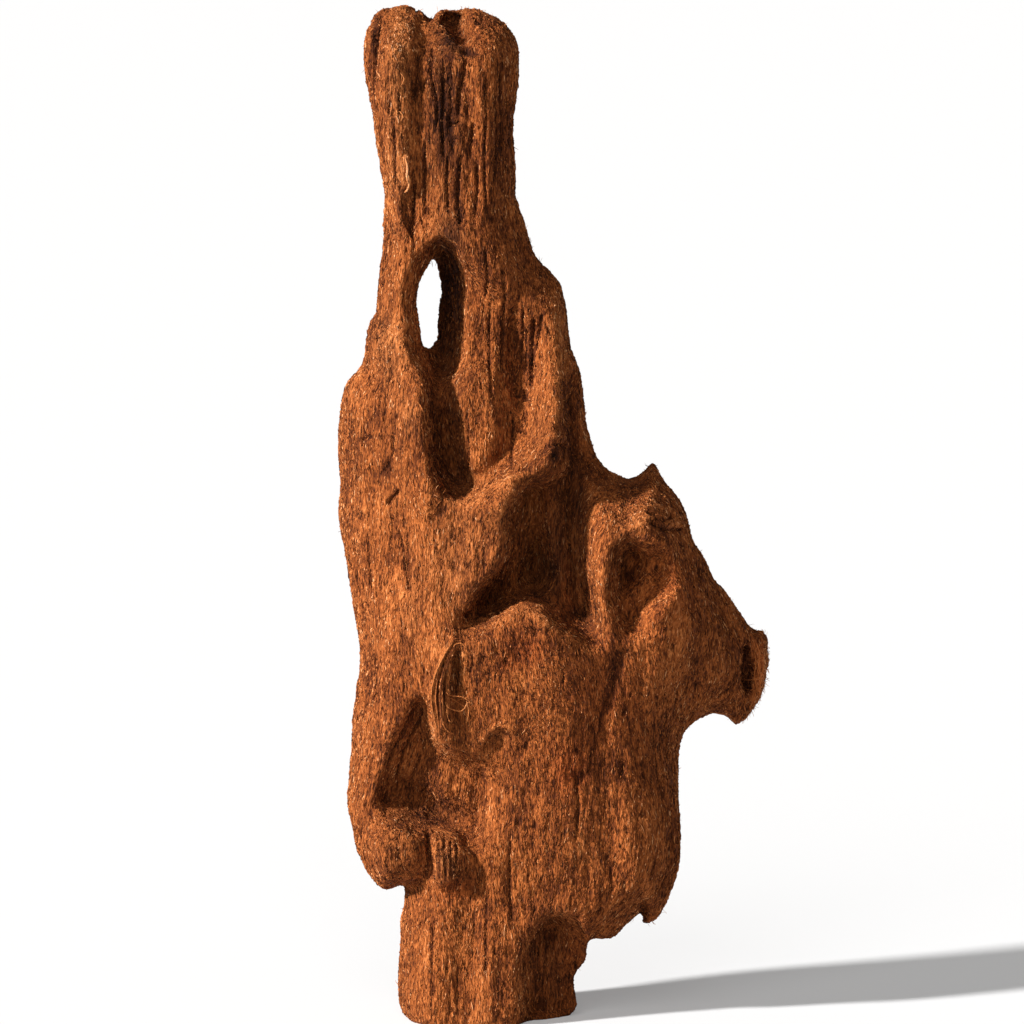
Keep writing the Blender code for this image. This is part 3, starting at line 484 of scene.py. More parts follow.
@dataclass
class Relief:
    """All that is carved into the surface, finer than the solid's own forms."""

    grain: GrainField
    ridges: tuple[Layer, ...] = (
        Layer(8.0, 70.0, 1, 0.22), Layer(2.8, 14.0, 2, 0.18), Layer(1.5, 5.0, 3, 0.26), Layer(1.0, 2.6, 4, 0.16),
    )
    cracks: tuple[Layer, ...] = (Layer(4.8, 46.0, 5, 0.9), Layer(2.6, 20.0, 6, 0.6))
    crack_share: float = 0.08
    crack_gaps: Layer = Layer(12.0, 26.0, 7)
    gap_edges: tuple[float, float] = (-0.15, 0.25)
    crack_depth: float = 0.45
    neck_crack_depth: float = 0.35
    neck_edges: tuple[float, float] = (205.0, 240.0)
    pits: Layer = Layer(1.5, 4.0, 8, 0.7)
    pit_edges: tuple[float, float] = (0.42, 0.75)
    lumps: Layer = Layer(8.0, 8.0, 9, 0.3)
    foot_clear: float = 3.0
    hollows: tuple[Hollow, ...] = (
        # the black hollow round the window, and the slot below it
        Hollow(4.4, 0.9, 2.2,
               ((-34, 234), (-37, 230.7), (-37.3, 226.3), (-36.7, 218.4), (-36.8, 206.1), (-37.6, 197.7),
                (-36.6, 194.7), (-33.7, 191.6), (-30.5, 190.4)),
               ((-34, 234), (-30, 232.4), (-27.8, 229.9), (-26.8, 224.9), (-26.4, 216.7), (-26.2, 208),
                (-25.8, 200.4), (-26.4, 194.5), (-30.5, 190.4))),
        Hollow(2.2, 0.7, 4.0,
               ((-34, 195), (-36.5, 189), (-36.6, 184.4), (-37.5, 179.7), (-36, 174.6), (-36.2, 169.9),
                (-35, 165.9), (-34.1, 163), (-32.4, 159.5), (-31, 157.6), (-27.5, 157), (-24.6, 158.2),
                (-21.9, 159.7)),
               ((-34, 195), (-30, 191), (-29, 184), (-28.6, 177), (-28, 169.5), (-26, 163),
                (-21.9, 159.7))),
        # its floor, which rises early
        Hollow(-3.0, 2.5, 6.0,
               ((-30, 190), (-28.8, 184), (-28.2, 176), (-27.4, 168), (-25, 162.5), (-20, 163)),
               ((-30, 190), (-25, 196), (-19, 194), (-15, 186), (-14, 176), (-16, 168),
                (-20, 163))),
        # the shaded hollow in the middle, and the pit at its foot
        Hollow(4.2, 0.8, 4.5,
               ((-4.6, 161.5), (-8.5, 158.8), (-12.9, 155.3), (-13.9, 148.6), (-13.1, 143.4), (-13.6, 139.9),
                (-15.8, 136.1), (-19.2, 133.6), (-22.7, 129.1), (-24.1, 126), (-23.9, 122.4), (-21.7, 120.8),
                (-17.3, 121.8), (-13.4, 124.2), (-9.5, 126), (-2.6, 126.9)),
               ((-4.6, 161.5), (-2.1, 156.7), (-1.6, 149.5), (-0.2, 141.7), (0.9, 134.8), (0.6, 130.4),
                (-2.6, 126.9))),
        Hollow(3.2, 1.0, 2.0,
               ((-4.6, 144), (-7.5, 141), (-9.5, 136.3), (-11.4, 130.6), (-10, 128), (-6.5, 127.2)),
               ((-4.6, 144), (-1.6, 141), (-0.2, 138.7), (0.7, 133.8), (0.1, 129.4), (-2.6, 127.3),
                (-6.5, 127.2))),
        # the valley beside it, which turns under the knot bowl
        Hollow(1.0, 1.2, 3.0,
               ((6, 166), (4.3, 158), (3.8, 152.9), (3.3, 143.4), (4.8, 133.4), (2.3, 128.9), (-2.6, 126.3),
                (-5.1, 125), (0.3, 120.6), (5.2, 117.8), (9.1, 116.5), (13, 116.7)),
               ((6, 166), (9.4, 158), (10.1, 153.5), (9.3, 144.1), (8.7, 133.8), (9.4, 128.8), (11.8, 124.5),
                (14.9, 120.3), (14.4, 117.8), (13, 116.7))),
        # the knot bowl: its right wall rises early, and its left wall is steep
        Hollow(-5.6, 11.0, 6.0,
               ((28.6, 149.9), (25, 146.4), (22.4, 141.4), (21.4, 135.4), (20.8, 129.2), (19.6, 123.2),
                (20.8, 116.8)),
               ((28.6, 149.9), (33.6, 147.9), (37.9, 142.4), (39.6, 135.4), (39.6, 127.9), (35.6, 121.9),
                (28.6, 118.2), (23.8, 116.1), (20.8, 116.8))),
        Hollow(4.2, 0.7, 4.0,
               ((22.3, 146), (17.3, 142.8), (16.4, 139), (15.7, 134.1), (14.9, 129.2), (15, 123.6)),
               ((22.3, 146), (26.3, 140.8), (27.6, 136.4), (25.8, 131), (20.9, 126.4), (15, 123.6))),
        # the fan above it, which rises to the right
        Hollow(-3.2, 1.5, 15.0,
               ((11, 168), (20, 161), (29, 163), (35, 154), (41, 146), (31, 147),
                (22, 146)),
               ((11, 168), (10.5, 157), (13, 149), (22, 146))),
        # the flat wood that ends in a sharp edge at the slot, the shaded hollow, the foot's cut, the comb of
        # ridges and the flap
        Hollow(-2.4, 0.7, 9.0,
               ((-39, 197), (-38, 190), (-37.6, 184.4), (-38.5, 179.7), (-37, 174.6), (-37.2, 169.9),
                (-36, 165.9), (-35.1, 163), (-33.4, 158.5), (-30, 155.6)),
               ((-39, 197), (-46, 192), (-49, 180), (-49, 166), (-44, 154), (-37, 150),
                (-30, 155.6))),
        Hollow(-2.0, 0.7, 9.0,
               ((-7.4, 160.8), (-9.5, 159.4), (-13.9, 156.3), (-14.9, 148.6), (-14.1, 143.4), (-14.6, 139.9),
                (-16.8, 136.1), (-20.2, 133.6), (-23.7, 129.6), (-25.6, 126)),
               ((-7.4, 160.8), (-16, 163), (-26, 156), (-28, 146), (-31, 136), (-31, 129),
                (-25.6, 126))),
        Hollow(-1.6, 0.7, 10.0,
               ((1.9, 36), (-4.3, 30.6), (-7.2, 26.6), (-10.1, 21.2), (-10.7, 13), (-9.5, 1)),
               ((1.9, 36), (-10, 38), (-22, 30), (-24, 14), (-20, 1), (-9.5, 1))),
        Hollow(-1.7, 0.8, 0.9,
               ((-36, 57), (-36.2, 50), (-35.2, 43.6), (-32, 42.2)),
               ((-36, 57), (-32.4, 58.4), (-29, 57.4), (-27.2, 52), (-28, 45.4), (-32, 42.2))),
        Hollow(-1.4, 0.7, 5.0,
               ((-37.4, 101), (-37, 98), (-35.8, 93.7), (-34.8, 89.7), (-35.1, 85.6), (-32.1, 84.2),
                (-28.7, 82.6), (-25.2, 82.8)),
               ((-37.4, 101), (-31, 101), (-29, 94), (-25.2, 89), (-25.2, 82.8))),
        # the pit of the broken top
        Hollow(4.5, 0.9, 2.0,
               ((-32.1, 298.6), (-33.6, 296.9), (-34.1, 294.7), (-32.1, 293.4), (-30.1, 291), (-28.6, 289.2),
                (-26.2, 288.4)),
               ((-32.1, 298.6), (-29.4, 298.8), (-26.2, 297.9), (-23.8, 295), (-23.3, 292.6), (-25, 289.7),
                (-26.2, 288.4))),
        # the long scoop at the lower left
        Hollow(1.6, 2.4, 7.0,
               ((-39.5, 98.6), (-41.9, 97), (-43.9, 93.1), (-46.8, 87.6), (-49.3, 81.9), (-51.3, 75.7),
                (-53.1, 69), (-51.4, 64.5)),
               ((-39.5, 98.6), (-37, 97), (-35.3, 93.2), (-34.5, 87.5), (-33.6, 83), (-34.2, 78.2),
                (-34.2, 71.2), (-32.2, 66.1), (-29.8, 61.2), (-29.3, 57.3), (-32.2, 56.5), (-36.2, 58.8),
                (-41.6, 61.1), (-47, 62.9), (-51.4, 64.5))),
        # the slit behind the torn tip
        Hollow(4.0, 0.6, 1.3,
               ((57.3, 110), (55.8, 105.6), (55.2, 101.4), (55.6, 97.4), (57.2, 94)),
               ((57.3, 110), (59, 105.6), (59.6, 101), (59.4, 97), (57.2, 94))),
        # the cut-away at the right of the foot
        Hollow(4.8, 0.8, 3.0,
               ((1.9, 34), (-3.3, 29.6), (-6.2, 26.6), (-9.1, 21.2), (-9.7, 13), (-8.5, 3), (-3, -6)),
               ((1.9, 34), (6, 32.1), (9.5, 27.5), (9, 18.5), (8, 10.1), (5, 1.3), (-3, -6))),
        # the slot beside the torn flap, and the arched step below it
        Hollow(3.0, 0.7, 0.9,
               ((-28.4, 113.4), (-28.9, 112.6), (-30, 110.4), (-30.6, 106), (-30.1, 101.5), (-29.2, 98.3)),
               ((-28.4, 113.4), (-27.9, 112.6), (-27.6, 109.4), (-27.7, 104.8), (-27.9, 100.8), (-29.2, 98.3))),
        Hollow(1.2, 0.7, 3.5,
               ((-21.5, 82.4), (-20.8, 85.4), (-18.8, 87.8), (-16, 88.8), (-13.4, 87.6), (-11.4, 84.8)),
               ((-21.5, 82.4), (-16.5, 81.4), (-11.4, 84.8))),
        # the flat panel of the neck, one step behind its left ridge
        Hollow(1.7, 0.8, 9.0,
               ((-38, 299), (-41.4, 295.8), (-41.8, 287.9), (-42.7, 278.3), (-43.1, 268.6), (-44.2, 258.9),
                (-43.2, 253.9), (-42.8, 247.6), (-45, 245.9), (-45.2, 239.3), (-41, 231)),
               ((-38, 299), (-28, 286), (-21, 272), (-19, 256), (-21, 243), (-29, 234),
                (-41, 231))),
        # the side pocket of the upper scoop
        Hollow(1.3, 0.8, 2.8,
               ((-10.6, 217.5), (-13.2, 211), (-14.2, 203), (-14.2, 196), (-13, 190.5)),
               ((-10.6, 217.5), (-10.2, 210), (-10.6, 202), (-11, 195), (-13, 190.5))),
        # hollows of the back
        Hollow(2.6, 1.2, 6.0,
               ((-14, 262), (-20, 246), (-21, 226), (-19, 206), (-12, 190)),
               ((-14, 262), (-6, 244), (-3, 226), (-5, 206), (-12, 190)), Face.BACK),
        Hollow(2.6, 1.2, 6.0,
               ((8, 150), (0, 136), (-3, 118), (2, 100), (12, 90)),
               ((8, 150), (16, 138), (20, 120), (18, 102), (12, 90)), Face.BACK),
    )
    lines: tuple[Line, ...] = (
        # strands of the torn flap
        Line(0.8, -1.0, ((-28.2, 117), (-31.6, 112.5), (-34, 107.6), (-35.7, 102.6), (-36.2, 98.1), (-35.2, 92),
                         (-34.4, 86.5))),
        Line(0.45, 1.0, ((-27.8, 116), (-31.4, 111.6), (-33.4, 106.4), (-34.6, 100.8), (-34.4, 93), (-34, 88))),
        Line(0.7, -1.0, ((-27.6, 115.4), (-30.6, 111.5), (-32.5, 106.2), (-33.3, 100.8), (-33.1, 92), (-33.6, 87))),
        Line(0.45, 0.9, ((-28.8, 113.4), (-31.6, 108), (-32.4, 101), (-32.4, 92))),
        Line(0.6, -0.8, ((-29.1, 114), (-31.1, 109.5), (-31.6, 104.2), (-31.7, 96), (-32.2, 89))),
        Line(0.9, -0.8, ((-27, 113), (-26.6, 106), (-26.8, 99))),
        Line(0.8, -1.0, ((-35, 87), (-34.2, 85.6), (-32.1, 85), (-29.7, 83.4), (-26.4, 83.2))),
        # the arched step below the flap
        Line(0.8, -0.5, ((-22.4, 82), (-21, 85.8), (-17.4, 89.9), (-13.6, 89), (-11.2, 86))),
        # comb of pale ridges beside the lobe
        Line(0.6, 1.7, ((-37.6, 58.4), (-37.2, 50), (-36.8, 43))),
        Line(0.35, 0.9, ((-34.6, 56.4), (-34.3, 50), (-34, 43.4))),
        Line(0.35, 0.9, ((-32.7, 56.8), (-32.4, 50), (-32.2, 43))),
        Line(0.35, 0.9, ((-30.8, 56.6), (-30.6, 50), (-30.5, 43.4))),
        Line(0.35, 0.8, ((-29, 55.4), (-28.9, 50), (-29, 44.6))),
        # the lobe's lip
        Line(1.6, -0.5, ((-57.5, 59.5), (-51.3, 59), (-47.4, 57.6), (-43, 56), (-39.6, 53.6))),
        # folds above the bowl
        Line(1.0, -0.9, ((20, 147), (25.5, 149.4), (30, 150.6), (35.5, 148), (40, 146))),
        Line(0.5, 1.1, ((26.2, 152.6), (28.7, 151.4), (31.1, 149.8), (34.2, 149.7), (34.8, 152))),
        Line(0.5, 1.0, ((27.2, 151), (29.6, 148.4), (34.7, 146), (39.4, 145.8))),
        Line(0.7, -0.7, ((28, 153.8), (33, 152.2), (36.6, 150), (38.6, 147.6))),
        # rings of the knot eye
        Line(0.5, 0.9, ((-3.2, 169.6), (-1.8, 172.2), (1.2, 172.4), (3, 169.8), (1.8, 166.6), (-1.4, 166.4))),
        Line(0.6, -0.6, ((-5, 169), (-3.4, 173.8), (1.8, 174.2), (4.6, 170), (3, 165), (-2.2, 164.4))),
        # cracks of the neck
        Line(0.7, 1.5, ((-26.2, 286), (-26.9, 281), (-28.1, 275.4), (-28.3, 268)), fade=0.12),
        Line(0.5, 1.2, ((-31.6, 266.6), (-30, 266.2), (-27.6, 267.2))),
        Line(0.6, 1.3, ((-24.2, 267), (-24.6, 262.7), (-25.3, 256))),
        Line(0.6, 1.4, ((-27.6, 258), (-28.4, 250.2), (-28.6, 244.3), (-28, 236)), fade=0.12),
        Line(0.45, 1.4, ((-35.4, 277), (-35, 271.4), (-34.8, 264))),
        Line(0.45, 1.5, ((-36.2, 289), (-36.6, 282.2), (-35.8, 275))),
        Line(0.45, 1.6, ((-32.8, 284), (-33, 272.5), (-33.2, 262), (-32.8, 254))),
        Line(0.5, 1.3, ((-40.2, 288), (-40.6, 279.3), (-41.3, 271.4))),
        Line(0.5, 1.5, ((-41.1, 250), (-41.6, 240.9), (-41.9, 231.5))),
        Line(0.4, 1.2, ((-23.4, 257), (-23, 246.7), (-23.9, 237.5))),
        Line(0.4, 1.2, ((-31.4, 258), (-31.8, 249.2), (-31.4, 239.9))),
        Line(0.5, 1.5, ((-15.3, 286.5), (-15.9, 277.2), (-15.4, 266.2), (-16, 254))),
        Line(0.4, 1.1, ((-17.6, 274.4), (-16.9, 262.5), (-18, 246))),
        Line(0.4, 1.0, ((-20.6, 284), (-20.2, 270), (-20.8, 254), (-19.6, 236))),
        Line(0.4, 1.0, ((-38.2, 262), (-38.6, 250), (-38, 238))),
        Line(0.75, 2.6, ((-51.4, 299), (-52.6, 294.4), (-53.3, 288.5), (-54, 281.9), (-54.8, 272)), fade=0.12),
        Line(0.5, 1.1, ((-47.6, 272), (-47.2, 258), (-47.6, 244))),
        Line(1.0, -0.8, ((-43.8, 258), (-44.4, 252), (-43.7, 247.4))),
        # grooves and the curved ridge of the upper scoop
        Line(0.5, 1.9, ((-6.2, 209), (-7.1, 201.4), (-7.4, 194.6), (-7, 188)), fade=0.12),
        Line(0.45, 1.5, ((-3.6, 211), (-4.9, 204.6), (-5.9, 198))),
        Line(0.45, 1.3, ((-9.5, 213), (-9.8, 205.3), (-10.1, 197))),
        Line(0.4, 1.1, ((-8.6, 207), (-8.9, 199), (-8.7, 192))),
        Line(0.6, 1.2, ((-11.6, 188.4), (-10.8, 185.2))),
        Line(0.6, 1.2, ((-9.3, 188), (-8.6, 184))),
        Line(1.2, -0.6, ((-1.6, 222), (0.2, 213.2), (0.7, 203.6), (1.1, 189.4), (0.1, 180.8), (-2.6, 174.6))),
        Line(1.7, 1.8, ((4, 194), (4.9, 181), (5.1, 173.7), (5.8, 164))),
        Line(0.45, 1.0, ((-14.6, 222), (-15.4, 206), (-15.8, 192))),
        Line(0.4, 0.9, ((-19, 216), (-19.4, 200), (-18.6, 184))),
        Line(0.4, 0.8, ((-12.2, 182), (-12.6, 172), (-13, 164))),
        Line(0.4, 0.8, ((-26, 184), (-25.6, 172), (-26, 162))),
        Line(0.4, 0.9, ((-3, 236), (-3.6, 228), (-4.4, 220))),
        Line(0.45, 1.1, ((-20.6, 231), (-20, 223), (-20.8, 214))),
        # the lit rim below the slot
        Line(1.1, -0.9, ((-33.4, 158.4), (-30.6, 155.6), (-26.6, 155.2), (-22, 158), (-16, 161.4), (-9.6, 163.4),
                         (-4.4, 165.8))),
        # the lit crest of the brow
        Line(1.3, -1.0, ((-21.6, 118.6), (-16.8, 120), (-12.6, 122.4), (-8.6, 124), (-4.8, 122.2), (0.4, 118.4),
                         (5.2, 115.4), (10.4, 114))),
        # cracks of the left flank
        Line(0.5, 0.8, ((-47.7, 175.2), (-48, 169.7), (-48.7, 161.8))),
        # slanting grooves of the lower left scoop
        Line(0.5, 1.2, ((-40.5, 96), (-44, 89), (-47.6, 81), (-50.4, 73))),
        Line(0.45, 1.0, ((-38.6, 93), (-42, 86), (-45.4, 78), (-47.4, 70))),
        Line(0.45, 0.9, ((-37, 88), (-39.6, 80), (-42.4, 72), (-43.6, 66))),
        # more cracks of the left flank
        Line(0.5, 1.3, ((-49.5, 153.6), (-47.8, 156.6), (-45.4, 158.8))),
        Line(0.45, 0.9, ((-51.6, 162.6), (-49.6, 165.4), (-48.6, 168))),
        Line(0.5, 1.1, ((-58.4, 171.8), (-56, 173.2), (-53.8, 174))),
        Line(0.5, 0.9, ((-46.6, 148), (-44.2, 138), (-42.4, 126))),
        Line(0.4, 0.8, ((-55.6, 146), (-55.2, 136), (-54, 126))),
        # the long dark crack of the lower block
        Line(1.6, 1.0, ((19.4, 113), (18, 106), (16.4, 99.5), (15, 92))),
        Line(0.5, 0.6, ((15.6, 98), (13.6, 91.5), (13, 85.8))),
        Line(0.5, 0.8, ((11.4, 83.8), (10.4, 79), (9.8, 74.5))),
        # fine cracks of the lower block and the foot
        Line(0.45, 0.9, ((6, 78), (6.8, 66), (6.2, 54))),
        Line(0.45, 0.8, ((-13, 60), (-13.4, 44), (-12.6, 30))),
        Line(0.45, 0.8, ((-20, 40), (-20.6, 26), (-20.2, 12))),
        Line(0.45, 0.9, ((-36, 34), (-36.6, 20), (-36.2, 8))),
        # the slit behind the torn tip
        Line(0.8, 2.4, ((57.3, 110), (56.8, 104.4), (57.2, 98.4), (58.6, 94)), fade=0.12),
        Line(1.3, -1.0, ((61.4, 110), (61.4, 104), (61.8, 99.5), (60.9, 95.4), (58.9, 90.7))),
        # the back
        Line(0.7, 1.6, ((-36, 290), (-36.6, 270), (-36, 250)), Face.BACK),
        Line(0.7, 1.6, ((-22, 280), (-21.4, 256), (-22.4, 238)), Face.BACK),
        Line(0.7, 1.4, ((-52, 190), (-50.6, 168), (-51.6, 148)), Face.BACK),
        Line(0.8, 1.6, ((28, 136), (26, 116), (22, 98)), Face.BACK),
        Line(0.6, 1.2, ((-14, 60), (-13, 44), (-14, 24)), Face.BACK),
        Line(0.6, 1.2, ((10, 84), (8, 66), (3, 44)), Face.BACK),
    )
    spots: tuple[Spot, ...] = (
        Spot(0.0, 169.4, 1.3, 1.5, 1.3),
        Spot(-57.6, 150.0, 1.6, 1.3, 1.3),
        Spot(-56.4, 151.6, 1.0, 0.9, -0.8),
        Spot(-6.2, 118.6, 0.8, 1.5, 1.7),
        Spot(34.6, 112.6, 0.8, 0.9, 0.9),
        Spot(-14.7, 109.2, 0.8, 1.0, 1.2),
        Spot(42.2, 99.2, 1.1, 1.4, 1.0),
        Spot(43.5, 133.5, 1.7, 3.6, 1.2),
        Spot(20.0, 76.0, 1.0, 2.6, 0.8),
        Spot(-50.0, 66.0, 1.6, 1.2, 0.9),
        Spot(-25.0, 287.2, 1.7, 0.9, 1.8),
        Spot(-25.6, 121.8, 1.0, 1.2, 1.4),
    )

    def sink(self, points: Rows, normals: Rows) -> Rows:
        """How far the hollows move each point of the surface along y."""
        moved = sum(-hollow.face.value * hollow.sunk(points, normals) for hollow in self.hollows)
        return moved * smoothstep(points[:, 2], 0.0, self.foot_clear)

    def height(self, points: Rows, normals: Rows) -> Rows:
        """How far each point of the surface stands out, in millimetres; grooves are negative.

        Args:
            points: points of the surface, in millimetres.
            normals: the way off the surface at each point.

        Returns:
            One height a point.
        """
        grain = self.grain.coordinates(points)
        rise = sum(layer.height * layer.read(grain) for layer in self.ridges)
        rise += self.lumps.height * self.lumps.read(points)
        gaps = smoothstep(self.crack_gaps.read(grain), *self.gap_edges)
        depth = self.crack_depth + self.neck_crack_depth * smoothstep(points[:, 2], *self.neck_edges)
        for layer in self.cracks:
            open_by = smoothstep(np.abs(layer.read(grain)), self.crack_share, 0.0)
            rise -= layer.height * open_by * gaps * depth
        rise -= self.pits.height * smoothstep(self.pits.read(grain), *self.pit_edges)
        for line in self.lines:
            rise -= line.sunk(points, normals)
        for spot in self.spots:
            rise -= spot.depth * spot.nearness(points, normals)
        return rise * smoothstep(points[:, 2], 0.0, self.foot_clear)


# Patches of colour

@dataclass(frozen=True)
class Patch:
    """A soft-edged patch of one mask, in the front view."""

    x: float
    z: float
    reach_x: float
    reach_z: float
    strength: float = 1.0
    face: Face = Face.FRONT

    def read(self, points: Rows, normals: Rows) -> Rows:
        """The patch's strength at each point."""
        spot = Spot(self.x, self.z, self.reach_x, self.reach_z, 1.0, self.face)
        return self.strength * spot.nearness(points, normals)


@dataclass
class Masks:
    """Where the wood is bleached, where a painted highlight lightens it, where it is stained red, where painted shade
    darkens it, and where its fibres are felted or frayed.
    """

    grain: GrainField
    # real bleaching, and a painted highlight on the lit left ridge of the neck
    bleach_and_highlight: tuple[Patch, ...] = (
        Patch(-43.0, 180.0, 3.0, 6.0, 0.7), Patch(-42.0, 120.0, 3.0, 14.0, 0.8), Patch(-49.0, 200.0, 6.0, 9.0, 1.2),
        Patch(-30.0, 132.0, 8.0, 14.0, 0.5), Patch(-34.0, 100.0, 2.6, 14.0, 0.7),
        # painted highlight: the neck's left ridge, made paler where the light falls on it
        Patch(-44.0, 250.0, 1.4, 8.0, 0.9), Patch(-46.4, 272.0, 3.2, 28.0, 1.5),
        Patch(-32.0, 50.0, 3.6, 6.0, 1.0), Patch(-48.0, 52.0, 7.0, 7.0, 0.7),
        Patch(-14.0, 150.0, 5.0, 8.0, 0.4), Patch(24.0, 150.0, 8.0, 4.0, 0.5),
        Patch(-24.0, 150.0, 8.0, 9.0, 0.5), Patch(-6.0, 180.0, 9.0, 10.0, 0.3),
    )
    reddened: tuple[Patch, ...] = (
        Patch(-29.4, 40.6, 5.0, 3.0, 0.7), Patch(16.0, 94.0, 10.0, 16.0, 0.4),
        Patch(4.0, 77.0, 5.0, 8.0, 0.6), Patch(-10.0, 113.0, 6.0, 5.0, 0.6),
        Patch(62.0, 102.0, 4.0, 10.0, 0.7), Patch(30.0, 127.0, 9.0, 10.0, 0.7),
        Patch(10.0, 20.0, 8.0, 10.0, 0.4), Patch(-57.0, 44.0, 4.0, 6.0, 0.4),
        Patch(40.0, 60.0, 5.0, 14.0, 0.3), Patch(-14.6, 108.6, 2.0, 2.0, 0.9),
    )
    # painted shade: patches that darken the colour in the hollows, slots, pits, cracks and shaded stretches, where
    # shade falls
    painted_shade: tuple[Patch, ...] = (
        Patch(-31.4, 214.0, 3.9, 20.0, 1.8), Patch(-33.0, 175.0, 3.6, 22.0, 1.5),
        Patch(-28.4, 162.0, 4.6, 6.0, 1.0), Patch(0.6, 146.0, 3.0, 17.0, 0.75),
        Patch(-6.0, 140.0, 4.0, 14.0, 0.75), Patch(-19.0, 127.0, 4.0, 5.0, 0.66),
        Patch(18.6, 136.0, 3.0, 8.0, 1.1), Patch(7.0, 146.0, 3.2, 22.0, 0.8),
        Patch(18.0, 104.0, 2.2, 8.0, 0.5), Patch(-42.0, 68.0, 9.0, 12.0, 0.33),
        Patch(-36.0, 61.5, 10.0, 3.6, 0.7), Patch(8.0, 121.0, 8.0, 3.0, 0.5),
        Patch(57.4, 101.0, 1.4, 7.0, 1.3), Patch(0.0, 20.0, 6.0, 12.0, 0.58),
        Patch(-29.0, 293.6, 3.6, 4.6, 1.2), Patch(-25.0, 287.2, 2.0, 1.4, 0.75),
        Patch(22.0, 60.0, 24.0, 60.0, 0.13), Patch(-2.0, 134.0, 4.0, 6.0, 0.66),
        Patch(-32.0, 262.0, 7.0, 30.0, 0.75), Patch(-14.0, 268.0, 3.0, 30.0, 0.17),
        Patch(-28.8, 106.0, 1.2, 7.0, 0.83), Patch(0.0, 169.4, 1.4, 1.4, 0.66),
        Patch(-12.4, 202.0, 1.6, 11.0, 0.41), Patch(-7.2, 200.0, 1.0, 10.0, 0.41),
        Patch(-53.4, 290.0, 1.4, 10.0, 0.75), Patch(-16.4, 86.4, 4.0, 1.8, 0.6),
        Patch(5.0, 176.0, 2.0, 16.0, 0.33), Patch(-28.4, 248.0, 1.0, 12.0, 0.5),
    )
    felted: tuple[Patch, ...] = (
        Patch(-49.0, 200.0, 6.0, 8.0, 1.0), Patch(33.0, 149.0, 8.0, 6.0, 0.9),
        Patch(-26.0, 296.0, 12.0, 5.0, 0.9), Patch(-30.0, 58.0, 13.0, 5.0, 1.0),
        Patch(-52.0, 57.0, 7.0, 5.0, 0.8), Patch(27.0, 128.0, 8.0, 10.0, 0.8),
        Patch(61.0, 100.0, 5.0, 12.0, 0.8), Patch(-4.0, 122.0, 14.0, 4.0, 0.7),
        Patch(-26.0, 156.0, 14.0, 5.0, 0.8), Patch(-1.0, 169.0, 6.0, 6.0, 0.8),
        Patch(3.0, 30.0, 8.0, 6.0, 0.7), Patch(-52.0, 286.0, 3.0, 14.0, 0.7),
        Patch(-4.0, 184.0, 12.0, 6.0, 0.5), Patch(-14.0, 88.0, 8.0, 4.0, 0.5),
    )
    frayed: tuple[Patch, ...] = (
        Patch(62.0, 98.0, 6.0, 14.0, 2.4), Patch(-37.5, 213.0, 4.0, 20.0, 0.2),
        Patch(-36.5, 172.0, 2.0, 16.0, 0.8), Patch(-32.0, 85.0, 5.0, 3.0, 1.0),
        Patch(-28.0, 298.0, 18.0, 4.0, 0.5), Patch(-53.4, 290.0, 2.0, 9.0, 0.6),
        Patch(-43.6, 250.0, 1.6, 8.0, 0.8), Patch(29.0, 160.0, 3.0, 4.0, 0.5),
        Patch(30.0, 28.0, 8.0, 4.0, 0.4), Patch(-8.0, 232.0, 3.0, 5.0, 0.6),
    )
    blotch: Layer = Layer(14.0, 30.0, 31)
    blotch_level: float = 0.6
    blotch_swing: float = 0.8

    @staticmethod
    def total(patches: tuple[Patch, ...], points: Rows, normals: Rows) -> Rows:
        """How strongly some patches together cover each point, from 0 to 1."""
        return np.clip(sum(patch.read(points, normals) for patch in patches), 0, 1)

    def write(self, mesh: bpy.types.Mesh, points: Rows, normals: Rows) -> None:
        """Keeps the grain coordinates and the three masks on the mesh's points.

        Args:
            mesh: the mesh.
            points: points of the surface, in millimetres.
            normals: the way off the surface at each point.
        """
        grain = self.grain.coordinates(points)
        store(mesh, "grain", grain * MM)
        blotch = self.blotch_level + self.blotch_swing * self.blotch.read(grain)
        for name, patches in (("bleach_and_highlight", self.bleach_and_highlight), ("reddened", self.reddened),
                              ("painted_shade", self.painted_shade)):
            store(mesh, name, np.clip(self.total(patches, points, normals) * blotch, 0, 1))


# Materials

